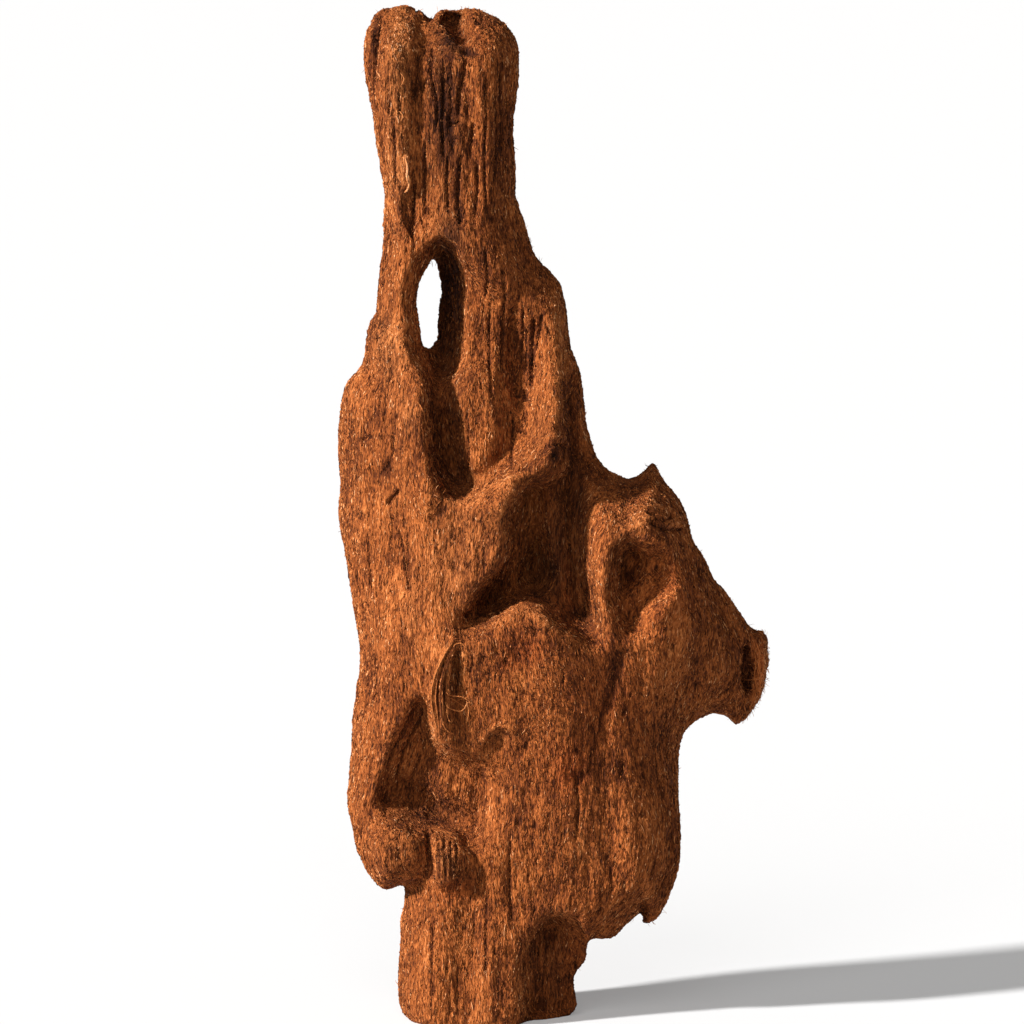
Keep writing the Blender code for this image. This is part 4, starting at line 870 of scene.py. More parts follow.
class NodeLayout:
    """Adds nodes to a tree and joins them, so that the groups below read as plain steps."""

    def __init__(self, tree: Nodes) -> None:
        """Works on this tree."""
        self.tree = tree

    def add(self, kind: str, inputs: dict[object, object] | None = None, **settings: object) -> bpy.types.Node:
        """A new node.

        Args:
            kind: the node's type without the leading ShaderNode.
            inputs: for each input's name or number, a value or another node's socket.
            settings: the node's own properties.

        Returns:
            The node.
        """
        node = self.tree.nodes.new("ShaderNode" + kind)
        for name, value in settings.items():
            setattr(node, name, value)
        for key, value in (inputs or {}).items():
            self.feed(node.inputs[key], value)
        return node

    def feed(self, socket: bpy.types.NodeSocket, value: object) -> None:
        """Joins a socket to another, or sets its value.

        Args:
            socket: the input socket.
            value: another socket, or a plain value.
        """
        if isinstance(value, bpy.types.NodeSocket):
            self.tree.links.new(value, socket)
        else:
            socket.default_value = value

    def math(self, operation: str, first: object, second: object = 0.0, clamp: bool = False) -> bpy.types.NodeSocket:
        """One Math node's result."""
        node = self.add("Math", {0: first, 1: second}, operation=operation, use_clamp=clamp)
        return node.outputs[0]

    def fit(self, value: object, low: float, high: float,
            to_low: float = 0.0, to_high: float = 1.0) -> bpy.types.NodeSocket:
        """A value's range from low to high, moved to another range and held there.

        Args:
            value: the value.
            low: where its range starts.
            high: where it ends.
            to_low: where the other range starts.
            to_high: where it ends.

        Returns:
            The moved value.
        """
        node = self.add("MapRange", {"Value": value, "From Min": low, "From Max": high,
                                     "To Min": to_low, "To Max": to_high})
        return node.outputs["Result"]

    def mix(self, share: object, first: object, second: object, blend: str = "MIX") -> bpy.types.NodeSocket:
        """Two colours mixed.

        Args:
            share: the second colour's share.
            first: the first colour.
            second: the second colour.
            blend: the way of mixing.

        Returns:
            The mixed colour.
        """
        node = self.add("Mix", data_type="RGBA", blend_type=blend)
        self.feed(node.inputs[0], share)
        self.feed(node.inputs[6], first)
        self.feed(node.inputs[7], second)
        return node.outputs[2]


@dataclass(frozen=True)
class Socket:
    """One socket of a node group."""

    name: str
    kind: str
    value: object = None


class WoodColours(Enum):
    """The wood's colours, as linear red, green, blue and alpha."""

    # the darkest tone, and the painted shade of the open pores
    GAP_SHADE = (0.022, 0.0048, 0.0012, 1.0)
    DEEP = (0.105, 0.0235, 0.0045, 1.0)
    MIDDLE = (0.330, 0.0860, 0.0165, 1.0)
    LIGHT = (0.600, 0.1950, 0.0510, 1.0)
    PALE = (0.820, 0.3850, 0.1650, 1.0)
    # bleaching, and painted highlight: the colour that the pale patches multiply in
    PALE_AND_HIGHLIGHT_WASH = (1.200, 1.450, 1.9000, 1.0)
    RED_WASH = (0.950, 0.620, 0.4600, 1.0)
    # painted shade: the colour that the shade patches multiply in
    SHADE_WASH = (0.060, 0.045, 0.0400, 1.0)


class NodeGroups:
    """The effects that both materials of the wood use, each built once."""

    def __init__(self) -> None:
        """Builds the groups."""
        self.streaks = self.build("fibre streaks", self.lay_streaks, [
            Socket("Grain", "Vector"), Socket("Width", "Float", 0.0005), Socket("Length", "Float", 0.006),
            Socket("Shift", "Float", 0.0)], [Socket("Value", "Float")])
        self.pores = self.build("open pores", self.lay_pores, [
            Socket("Grain", "Vector"), Socket("Width", "Float", 0.0009), Socket("Length", "Float", 0.005),
            Socket("Share", "Float", 0.3)], [Socket("Value", "Float")])
        self.tone = self.build("wood tone", self.lay_tone, [
            Socket("Tone", "Float", 0.5), Socket("Bleach and highlight", "Float", 0.0), Socket("Reddened", "Float", 0.0),
            Socket("Painted shade", "Float", 0.0), Socket("Pore shade", "Float", 0.0)], [Socket("Color", "Color")])

    @staticmethod
    def build(name: str, lay: Callable[[NodeLayout, bpy.types.Node], dict[str, object]],
              inputs: list[Socket], outputs: list[Socket]) -> Nodes:
        """A node group.

        Args:
            name: the group's name.
            lay: adds the group's nodes and returns what feeds each output.
            inputs: the group's input sockets.
            outputs: its output sockets.

        Returns:
            The group.
        """
        tree = bpy.data.node_groups.new(name, "ShaderNodeTree")
        for sockets, way in ((inputs, "INPUT"), (outputs, "OUTPUT")):
            for socket in sockets:
                made = tree.interface.new_socket(name=socket.name, in_out=way, socket_type="NodeSocket" + socket.kind)
                if socket.value is not None:
                    made.default_value = socket.value
        given = tree.nodes.new("NodeGroupInput")
        result = tree.nodes.new("NodeGroupOutput")
        layout = NodeLayout(tree)
        for key, value in lay(layout, given).items():
            layout.feed(result.inputs[key], value)
        return tree

    @staticmethod
    def scaled(layout: NodeLayout, given: bpy.types.Node) -> bpy.types.NodeSocket:
        """The grain coordinates divided by the group's width and length.

        Args:
            layout: adds the group's nodes.
            given: the node with the group's inputs.

        Returns:
            The divided coordinates.
        """
        sizes = layout.add("CombineXYZ", {0: given.outputs["Width"], 1: given.outputs["Width"],
                                          2: given.outputs["Length"]})
        return layout.add("VectorMath", {0: given.outputs["Grain"], 1: sizes.outputs[0]},
                          operation="DIVIDE").outputs[0]

    def lay_streaks(self, layout: NodeLayout, given: bpy.types.Node) -> dict[str, object]:
        """Noise drawn out along the grain, with a slight weave of its own.

        Args:
            layout: adds the group's nodes.
            given: the node with the group's inputs.

        Returns:
            What feeds each output.
        """
        spot = self.scaled(layout, given)
        moved = layout.add("VectorMath", {0: spot, 1: given.outputs["Shift"]}, operation="ADD").outputs[0]
        value = layout.add("TexNoise", {"Vector": moved, "Scale": 1.0, "Detail": 2.0, "Roughness": 0.55,
                                        "Distortion": 0.35}).outputs[0]
        return {"Value": layout.fit(value, 0.3, 0.7)}

    def lay_pores(self, layout: NodeLayout, given: bpy.types.Node) -> dict[str, object]:
        """Narrow openings along the grain, where the wood tone paints shade: 1 inside one, 0 between them.

        Args:
            layout: adds the group's nodes.
            given: the node with the group's inputs.

        Returns:
            What feeds each output.
        """
        spot = self.scaled(layout, given)
        cells = layout.add("TexVoronoi", {"Vector": spot, "Scale": 1.0, "Randomness": 1.0})
        inner = layout.fit(cells.outputs["Distance"], 0.12, 0.42, 1.0, 0.0)
        chosen = layout.add("SeparateColor", {0: cells.outputs["Color"]}).outputs[0]
        open_here = layout.math("LESS_THAN", chosen, given.outputs["Share"])
        return {"Value": layout.math("MULTIPLY", inner, open_here)}

    def lay_tone(self, layout: NodeLayout, given: bpy.types.Node) -> dict[str, object]:
        """The wood's colour from its tone and its masks, among them painted highlight and painted shade.

        Args:
            layout: adds the group's nodes.
            given: the node with the group's inputs.

        Returns:
            What feeds each output.
        """
        ramp = layout.add("ValToRGB", {0: given.outputs["Tone"]})
        points = ramp.color_ramp.elements
        for place, colour in ((0.3, WoodColours.DEEP), (0.55, WoodColours.MIDDLE), (0.8, WoodColours.LIGHT)):
            points.new(place).color = colour.value
        points[0].color = WoodColours.GAP_SHADE.value
        points[-1].color = WoodColours.PALE.value
        colour = ramp.outputs[0]
        # the pale wash is bleaching with a painted highlight, the dark wash is painted shade
        for mask, wash in (("Bleach and highlight", WoodColours.PALE_AND_HIGHLIGHT_WASH), ("Reddened", WoodColours.RED_WASH),
                           ("Painted shade", WoodColours.SHADE_WASH)):
            colour = layout.mix(given.outputs[mask], colour, wash.value, "MULTIPLY")
        # painted shade in the open pores
        return {"Color": layout.mix(given.outputs["Pore shade"], colour, WoodColours.GAP_SHADE.value)}


@dataclass(frozen=True)
class Streaks:
    """One layer of streaks along the grain: its width and length, in metres, and its shift."""

    width: float
    length: float
    shift: float


@dataclass(frozen=True)
class WoodFinish:
    """Dry, weathered wood: its tone is the start plus a share of each named value."""

    name: str
    start: float
    shares: tuple[tuple[str, float], ...]
    pore_shade_share: float
    fine: Streaks = Streaks(0.0004, 0.002, 3.1)
    coarse: Streaks = Streaks(0.0011, 0.007, 8.7)
    broad: Streaks = Streaks(0.009, 0.030, 1.9)
    rough_low: float = 0.78
    rough_high: float = 0.96
    gloss: float = 0.16
    bump_height: float = 0.00035
    bump_strength: float = 1.0

    def material(self, groups: NodeGroups) -> bpy.types.Material:
        """Builds the material from the shared groups.

        Args:
            groups: the shared node groups.

        Returns:
            The material.
        """
        material = bpy.data.materials.new(self.name)
        material.use_nodes = True
        tree = material.node_tree
        layout = NodeLayout(tree)
        shader = tree.nodes["Principled BSDF"]
        grain = layout.add("Attribute", attribute_name="grain").outputs["Vector"]
        values = {name: layout.add("Attribute", attribute_name=name).outputs["Fac"]
                  for name in ("bleach_and_highlight", "reddened", "painted_shade", "relief", "tint")}
        for name, streaks in (("fine", self.fine), ("coarse", self.coarse), ("broad", self.broad)):
            values[name] = layout.add("Group", {"Grain": grain, "Width": streaks.width, "Length": streaks.length,
                                                "Shift": streaks.shift}, node_tree=groups.streaks).outputs[0]
        pores = layout.add("Group", {"Grain": grain}, node_tree=groups.pores).outputs[0]
        # the relief share darkens the colour where the surface is carved in: painted shade in grooves, cracks and
        # hollows
        tone = self.start
        for name, share in self.shares:
            tone = layout.add("Math", {0: values[name], 1: share, 2: tone}, operation="MULTIPLY_ADD").outputs[0]
        colour = layout.add("Group", {
            "Tone": tone, "Pore shade": layout.math("MULTIPLY", pores, self.pore_shade_share), "Bleach and highlight": values["bleach_and_highlight"],
            "Reddened": values["reddened"], "Painted shade": values["painted_shade"]}, node_tree=groups.tone)
        tree.links.new(colour.outputs[0], shader.inputs["Base Color"])
        rough = layout.fit(tone, 0.1, 0.9, self.rough_high, self.rough_low)
        tree.links.new(rough, shader.inputs["Roughness"])
        shader.inputs["Specular IOR Level"].default_value = self.gloss
        height = layout.math("SUBTRACT", layout.math("ADD", values["fine"], values["coarse"]), pores)
        bump = layout.add("Bump", {"Strength": self.bump_strength, "Distance": self.bump_height, "Height": height})
        tree.links.new(bump.outputs["Normal"], shader.inputs["Normal"])
        return material


# in both finishes the relief share is painted shade, darker where the surface is carved in
BODY_FINISH = WoodFinish("weathered wood", start=-0.16, pore_shade_share=0.9, shares=(
    ("fine", 0.40), ("coarse", 0.20), ("broad", 0.18), ("relief", 0.34)))
FIBRE_FINISH = WoodFinish("wood fibres", start=-0.20, pore_shade_share=0.0, shares=(
    ("tint", 0.78), ("fine", 0.20), ("broad", 0.20), ("relief", 0.26)))


# The wood's own surface

@dataclass
class WoodBody:
    """The carved wood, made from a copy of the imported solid."""

    relief: Relief
    masks: Masks
    finish: WoodFinish = BODY_FINISH
    name: str = "driftwood_body"
    merge_within: float = 0.001
    first_voxel: float = 0.8
    voxel: float = 0.55
    smoothing: float = 0.5
    first_rounds: int = 5
    last_rounds: int = 2
    most_triangles: int = 186_000
    on_foot: float = 0.35
    relief_shade_edges: tuple[float, float] = (-0.9, 0.6)
    tint: float = 0.5

    def build(self, groups: NodeGroups) -> bpy.types.Object:
        """Makes the piece, and sets it on its body in place of the solid.

        Args:
            groups: the shared node groups.

        Returns:
            The piece.
        """
        piece = self.copy_solid()
        self.refine(piece)
        self.carve(piece)
        self.thin(piece)
        self.dress(piece, groups)
        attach(piece, BODY)
        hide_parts(NODE)
        return piece

    def copy_solid(self) -> bpy.types.Object:
        """A copy of the solid's mesh, with its loose triangles merged.

        Returns:
            The copy.
        """
        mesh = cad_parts[NODE].data.copy()
        mesh.name = self.name
        mesh.materials.clear()
        piece = bpy.data.objects.new(self.name, mesh)
        bpy.context.scene.collection.objects.link(piece)
        only(piece)
        bpy.ops.object.mode_set(mode="EDIT")
        bpy.ops.mesh.select_all(action="SELECT")
        bpy.ops.mesh.remove_doubles(threshold=self.merge_within * MM)
        bpy.ops.object.mode_set(mode="OBJECT")
        return piece

    def refine(self, piece: bpy.types.Object) -> None:
        """Rounds off the solid's facets, sinks the hollows, and gives the copy small, even faces.

        Args:
            piece: the piece.
        """
        apply_modifier(piece, "REMESH", mode="VOXEL", voxel_size=self.first_voxel * MM)
        apply_modifier(piece, "SMOOTH", factor=self.smoothing, iterations=self.first_rounds)
        points, normals = vertex_rows(piece.data), normal_rows(piece.data)
        points[:, 1] += self.relief.sink(points, normals)
        set_points(piece.data, points)
        apply_modifier(piece, "REMESH", mode="VOXEL", voxel_size=self.voxel * MM)
        apply_modifier(piece, "SMOOTH", factor=self.smoothing, iterations=self.last_rounds)

    def carve(self, piece: bpy.types.Object) -> None:
        """Moves the surface by its relief.

        Args:
            piece: the piece.
        """
        points, normals = vertex_rows(piece.data), normal_rows(piece.data)
        rise = self.relief.height(points, normals)
        moved = points + normals * rise[:, None]
        moved[points[:, 2] < self.on_foot, 2] = 0.0
        set_points(piece.data, moved)
        store(piece.data, "relief", rise)

    def thin(self, piece: bpy.types.Object) -> None:
        """Takes triangles from where the surface is even."""
        ratio = self.most_triangles / triangle_count(piece)
        apply_modifier(piece, "DECIMATE", ratio=ratio, use_collapse_triangulate=True)
        set_points(piece.data, vertex_rows(piece.data))

    def dress(self, piece: bpy.types.Object, groups: NodeGroups) -> None:
        """Writes what the material reads on each point, and assigns it.

        Args:
            piece: the piece.
            groups: the shared node groups.
        """
        mesh = piece.data
        points, normals = vertex_rows(mesh), normal_rows(mesh)
        rise = np.empty(len(points), np.float32)
        mesh.attributes["relief"].data.foreach_get("value", rise)
        # painted shade: the carved height, kept for the material, which darkens grooves, cracks and hollows
        store(mesh, "relief", smoothstep(rise, *self.relief_shade_edges))
        store(mesh, "tint", np.full(len(points), self.tint))
        self.masks.write(mesh, points, normals)
        mesh.materials.append(self.finish.material(groups))
        only(piece)
        bpy.ops.object.shade_smooth()


# Fibres

@dataclass
class Strands:
    """Many thin closed strands in one mesh, with a few sides and a point at each end."""

    sides: int = 3
    first_angle: float = 210.0

    def mesh(self, name: str, centres: Rows, out: Rows, aside: Rows, widths: Rows, heights: Rows) -> bpy.types.Mesh:
        """Builds the strands.

        Args:
            name: the mesh's name.
            centres: strand by station by three, the line that each strand follows.
            out: the way off the surface at each station.
            aside: the way across the strand at each station.
            widths: half the width at each inner station.
            heights: the height at each inner station.

        Returns:
            The mesh, in metres.
        """
        count, stations = centres.shape[:2]
        inner = centres[:, 1:-1]
        wide = aside[:, 1:-1] * widths[..., None]
        tall = out[:, 1:-1] * heights[..., None]
        angles = math.radians(self.first_angle) + np.arange(self.sides) * (2 * math.pi / self.sides)
        rings = np.stack([inner + math.cos(a) * wide + math.sin(a) * tall for a in angles], axis=2)
        rows = np.concatenate([centres[:, :1], rings.reshape(count, -1, 3), centres[:, -1:]], axis=1)
        faces = []
        for side in range(self.sides):
            following = (side - 1) % self.sides
            faces.append((0, 1 + following, 1 + side))
            for ring in range(stations - 3):
                here, there = 1 + ring * self.sides, 1 + (ring + 1) * self.sides
                faces.append((here + side, here + following, there + following))
                faces.append((here + side, there + following, there + side))
            last = 1 + (stations - 3) * self.sides
            faces.append((last + side, last + following, 1 + (stations - 2) * self.sides))
        size = rows.shape[1]
        triangles = (np.array(faces)[None] + size * np.arange(count)[:, None, None]).reshape(-1, 3)
        mesh = bpy.data.meshes.new(name)
        mesh.vertices.add(count * size)
        mesh.vertices.foreach_set("co", (rows * MM).astype(np.float32).ravel())
        mesh.loops.add(len(triangles) * 3)
        mesh.loops.foreach_set("vertex_index", triangles.astype(np.int32).ravel())
        mesh.polygons.add(len(triangles))
        mesh.polygons.foreach_set("loop_start", np.arange(0, len(triangles) * 3, 3, dtype=np.int32))
        mesh.update(calc_edges=True)
        mesh.validate()
        return mesh


def across(centres: Rows, outs: Rows) -> Rows:
    """The way across each strand at each of its stations."""
    aside = np.cross(np.gradient(centres, axis=1), outs)
    return aside / np.maximum(np.linalg.norm(aside, axis=2, keepdims=True), 1e-9)


class Surface:
    """The carved surface, to lay strands on; its relief is read at the nearest face."""

    foot_height = 0.5
    downward = -0.5
    before_front = -200.0

    def __init__(self, body: bpy.types.Object) -> None:
        """Reads the body's triangles.

        Args:
            body: the carved wood.
        """
        mesh = body.data
        points = vertex_rows(mesh)
        corners = np.empty(len(mesh.polygons) * 3, np.int32)
        mesh.polygons.foreach_get("vertices", corners)
        self.corners = corners.reshape(-1, 3)
        self.triangles = points[self.corners]
        first, second, third = self.triangles.transpose(1, 0, 2)
        normal = np.cross(second - first, third - first)
        self.area = np.linalg.norm(normal, axis=1)
        self.out = unit(normal)
        self.middle = self.triangles.mean(1)
        relief = np.empty(len(points), np.float32)
        mesh.attributes["relief"].data.foreach_get("value", relief)
        self.relief = relief[self.corners].mean(1)
        self.tree = BVHTree.FromPolygons(points.tolist(), self.corners.tolist())

    def scatter(self, random: np.random.Generator, weight: Rows, count: int) -> tuple[Rows, Rows]:
        """Spots spread over the faces by weight, none of them under the foot, and the way off each.

        Args:
            random: the source of random draws.
            weight: each face's weight.
            count: how many spots to draw.

        Returns:
            The spots, and the way off the surface at each.
        """
        under = (self.middle[:, 2] < self.foot_height) & (self.out[:, 2] < self.downward)
        weight = np.where(under, 0.0, weight)
        chosen = random.choice(len(weight), count, p=weight / weight.sum())
        u, v = random.random((2, count, 1))
        beyond = (u + v) > 1
        u, v = np.where(beyond, 1 - u, u), np.where(beyond, 1 - v, v)
        first, second, third = self.triangles[chosen].transpose(1, 0, 2)
        return first + u * (second - first) + v * (third - first), self.out[chosen]

    def settle(self, points: Rows, off: Rows) -> tuple[Rows, Rows]:
        """The nearest spots of the surface, and the way off it there, held near the way before.

        Args:
            points: points near the surface, in millimetres.
            off: the way off the surface at the place before each.

        Returns:
            The spots, and the way off the surface at each.
        """
        placed, faces = np.empty_like(points), np.empty(len(points), int)
        for row, spot in enumerate(points.tolist()):
            placed[row], _, faces[row], _ = self.tree.find_nearest(spot)
        return placed, unit(self.out[faces] + off)

    def front(self, x: Rows, z: Rows) -> Rows:
        """The y of the surface seen from the front at each x, z spot, or of the nearest one beside it.

        Args:
            x: each spot's x.
            z: each spot's z.

        Returns:
            One y a spot.
        """
        found = []
        for one_x, one_z in zip(x.tolist(), z.tolist()):
            spot = self.tree.ray_cast((one_x, self.before_front, one_z), (0.0, 1.0, 0.0))[0]
            found.append((spot or self.tree.find_nearest((one_x, 0.0, one_z))[0])[1])
        return np.array(found)

    def relief_at(self, points: Rows) -> Rows:
        """The carved relief at the face nearest to each point."""
        return self.relief[[self.tree.find_nearest(spot)[2] for spot in points.tolist()]]


def strand_piece(mesh: bpy.types.Mesh, surface: Surface, masks: Masks, outs: Rows, tint: Rows,
                 material: bpy.types.Material) -> bpy.types.Object:
    """Makes a piece of a mesh of strands, kept within the solid's box, and dresses it.

    Args:
        mesh: the strands' mesh; it gives the piece its name.
        surface: the surface that the strands lie on.
        masks: the wood's patches.
        outs: the way off the surface at each station of each strand.
        tint: each strand's own tone, from 0 to 1.
        material: the strands' material.

    Returns:
        The piece.
    """
    points = vertex_rows(mesh)
    set_points(mesh, points)
    per_strand = len(points) // len(tint)
    normals = np.repeat(outs[:, 0], per_strand, axis=0)
    masks.write(mesh, points, normals)
    store(mesh, "tint", np.repeat(tint, per_strand))
    # painted shade: the relief under each strand, which darkens strands in carved-in places
    store(mesh, "relief", np.repeat(surface.relief_at(points[::per_strand]), per_strand))
    mesh.materials.append(material)
    piece = bpy.data.objects.new(mesh.name, mesh)
    bpy.context.scene.collection.objects.link(piece)
    only(piece)
    bpy.ops.object.shade_smooth()
    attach(piece, BODY)
    return piece


@dataclass(frozen=True)
class FibreKind:
    """One kind of fibre: its pieces, from the foot up, and the measures of its fibres."""

    bands: tuple[str, ...]
    each: int
    taper: tuple[float, ...]
    length: tuple[float, float]
    width: tuple[float, float]
    height: tuple[float, float]
    seed: int

    @property
    def stations(self) -> int:
        """How many places a fibre is laid through, with its two ends."""
        return len(self.taper) + 2


FIBRE_KINDS = (
    FibreKind(bands=("fibres_lower", "fibres_upper"), each=15_800, taper=(0.95, 0.8),
              length=(1.6, 3.8), width=(0.12, 0.23), height=(0.16, 0.34), seed=5),
    FibreKind(bands=("splinters_lower", "splinters_upper"), each=31_400, taper=(1.0,),
              length=(0.8, 1.9), width=(0.12, 0.22), height=(0.18, 0.36), seed=6),
)


@dataclass
class FibreCoat:
    """The fibres that lie all over the surface, in bands from the foot to the neck."""

    surface: Surface
    relief: Relief
    masks: Masks
    kind: FibreKind
    front_share: float = 2.0
    flat_end: float = 0.86
    end_share: float = 0.25
    short_bias: float = 1.6
    sway: float = 0.15
    felted_sway: float = 1.3
    most_turn: float = 0.6
    lifted_share: float = 0.09
    lift: float = 0.6
    sunk: float = 0.04
    lightest: float = 0.8
    pale_share: float = 0.05

    def build(self, material: bpy.types.Material) -> list[bpy.types.Object]:
        """Makes the bands of fibres.

        Args:
            material: the fibres' material.

        Returns:
            The bands' pieces.
        """
        surface = self.surface
        random = np.random.default_rng(self.kind.seed)
        weight = surface.area * np.where(surface.out[:, 1] < 0, self.front_share, 1.0)
        weight[np.abs(surface.out[:, 2]) > self.flat_end] *= self.end_share
        bands = self.kind.bands
        starts, out = surface.scatter(random, weight, self.kind.each * len(bands))
        order = np.argsort(starts[:, 2], kind="stable")
        made = []
        for name, chosen in zip(bands, np.array_split(order, len(bands))):
            made.append(self.band(name, random, starts[chosen], out[chosen], material))
        return made

    def band(self, name: str, random: np.random.Generator, starts: Rows, out: Rows,
             material: bpy.types.Material) -> bpy.types.Object:
        """One band of fibres.

        Args:
            name: the piece's name.
            random: the source of random draws.
            starts: where each fibre starts, in millimetres.
            out: the way off the surface there.
            material: the fibres' material.

        Returns:
            The piece.
        """
        count = len(starts)
        kind = self.kind
        centres, outs = self.follow(random, starts, out)
        t = np.linspace(0, 1, kind.stations)
        lift = np.where(random.random(count) < self.lifted_share, random.random(count) ** 2 * self.lift, 0.0)
        loose_end = np.where(random.random((count, 1)) < 0.5, t, 1 - t) ** 2
        centres = centres + outs * (lift[:, None] * loose_end - self.sunk)[..., None]
        size = random.random((count, 1))
        widths, heights = (between(ends, size) * np.array(kind.taper) for ends in (kind.width, kind.height))
        mesh = Strands().mesh(name, centres, outs, across(centres, outs), widths, heights)
        tint = random.random(count) * self.lightest
        tint[random.random(count) < self.pale_share] = 1.0
        return strand_piece(mesh, self.surface, self.masks, outs, tint, material)

    def follow(self, random: np.random.Generator, starts: Rows, out: Rows) -> tuple[Rows, Rows]:
        """Walks up the grain from each start, and stays on the surface.

        Args:
            random: the source of random draws.
            starts: where each fibre starts, in millimetres.
            out: the way off the surface there.

        Returns:
            The stations of each fibre, and the way off the surface at each.
        """
        count = len(starts)
        length = between(self.kind.length, random.random((count, 1)) ** self.short_bias)
        step = length / (self.kind.stations - 1)
        felted = self.masks.total(self.masks.felted, starts, out)[:, None]
        sway = between((self.sway, self.felted_sway), felted)
        turn = random.normal(0.0, 1.0, (count, 1)) * sway
        place, off = starts, out
        centres, outs = [place], [off]
        for _ in range(self.kind.stations - 1):
            run = self.relief.grain.direction(place)
            run = unit(run - off * (run * off).sum(1, keepdims=True))
            run = unit(run + np.cross(off, run) * turn)
            turn = turn + random.normal(0.0, 1.0, (count, 1)) * np.minimum(sway, self.most_turn)
            place, off = self.surface.settle(place + run * step, off)
            centres.append(place)
            outs.append(off)
        return np.stack(centres, axis=1), np.stack(outs, axis=1)


@dataclass(frozen=True)
class Thread:
    """A loose strand, by the x, the z and the height above the surface of each of its points."""

    points: tuple[tuple[float, float, float], ...]
    half_width: float = 0.17
    tint: float = 0.8


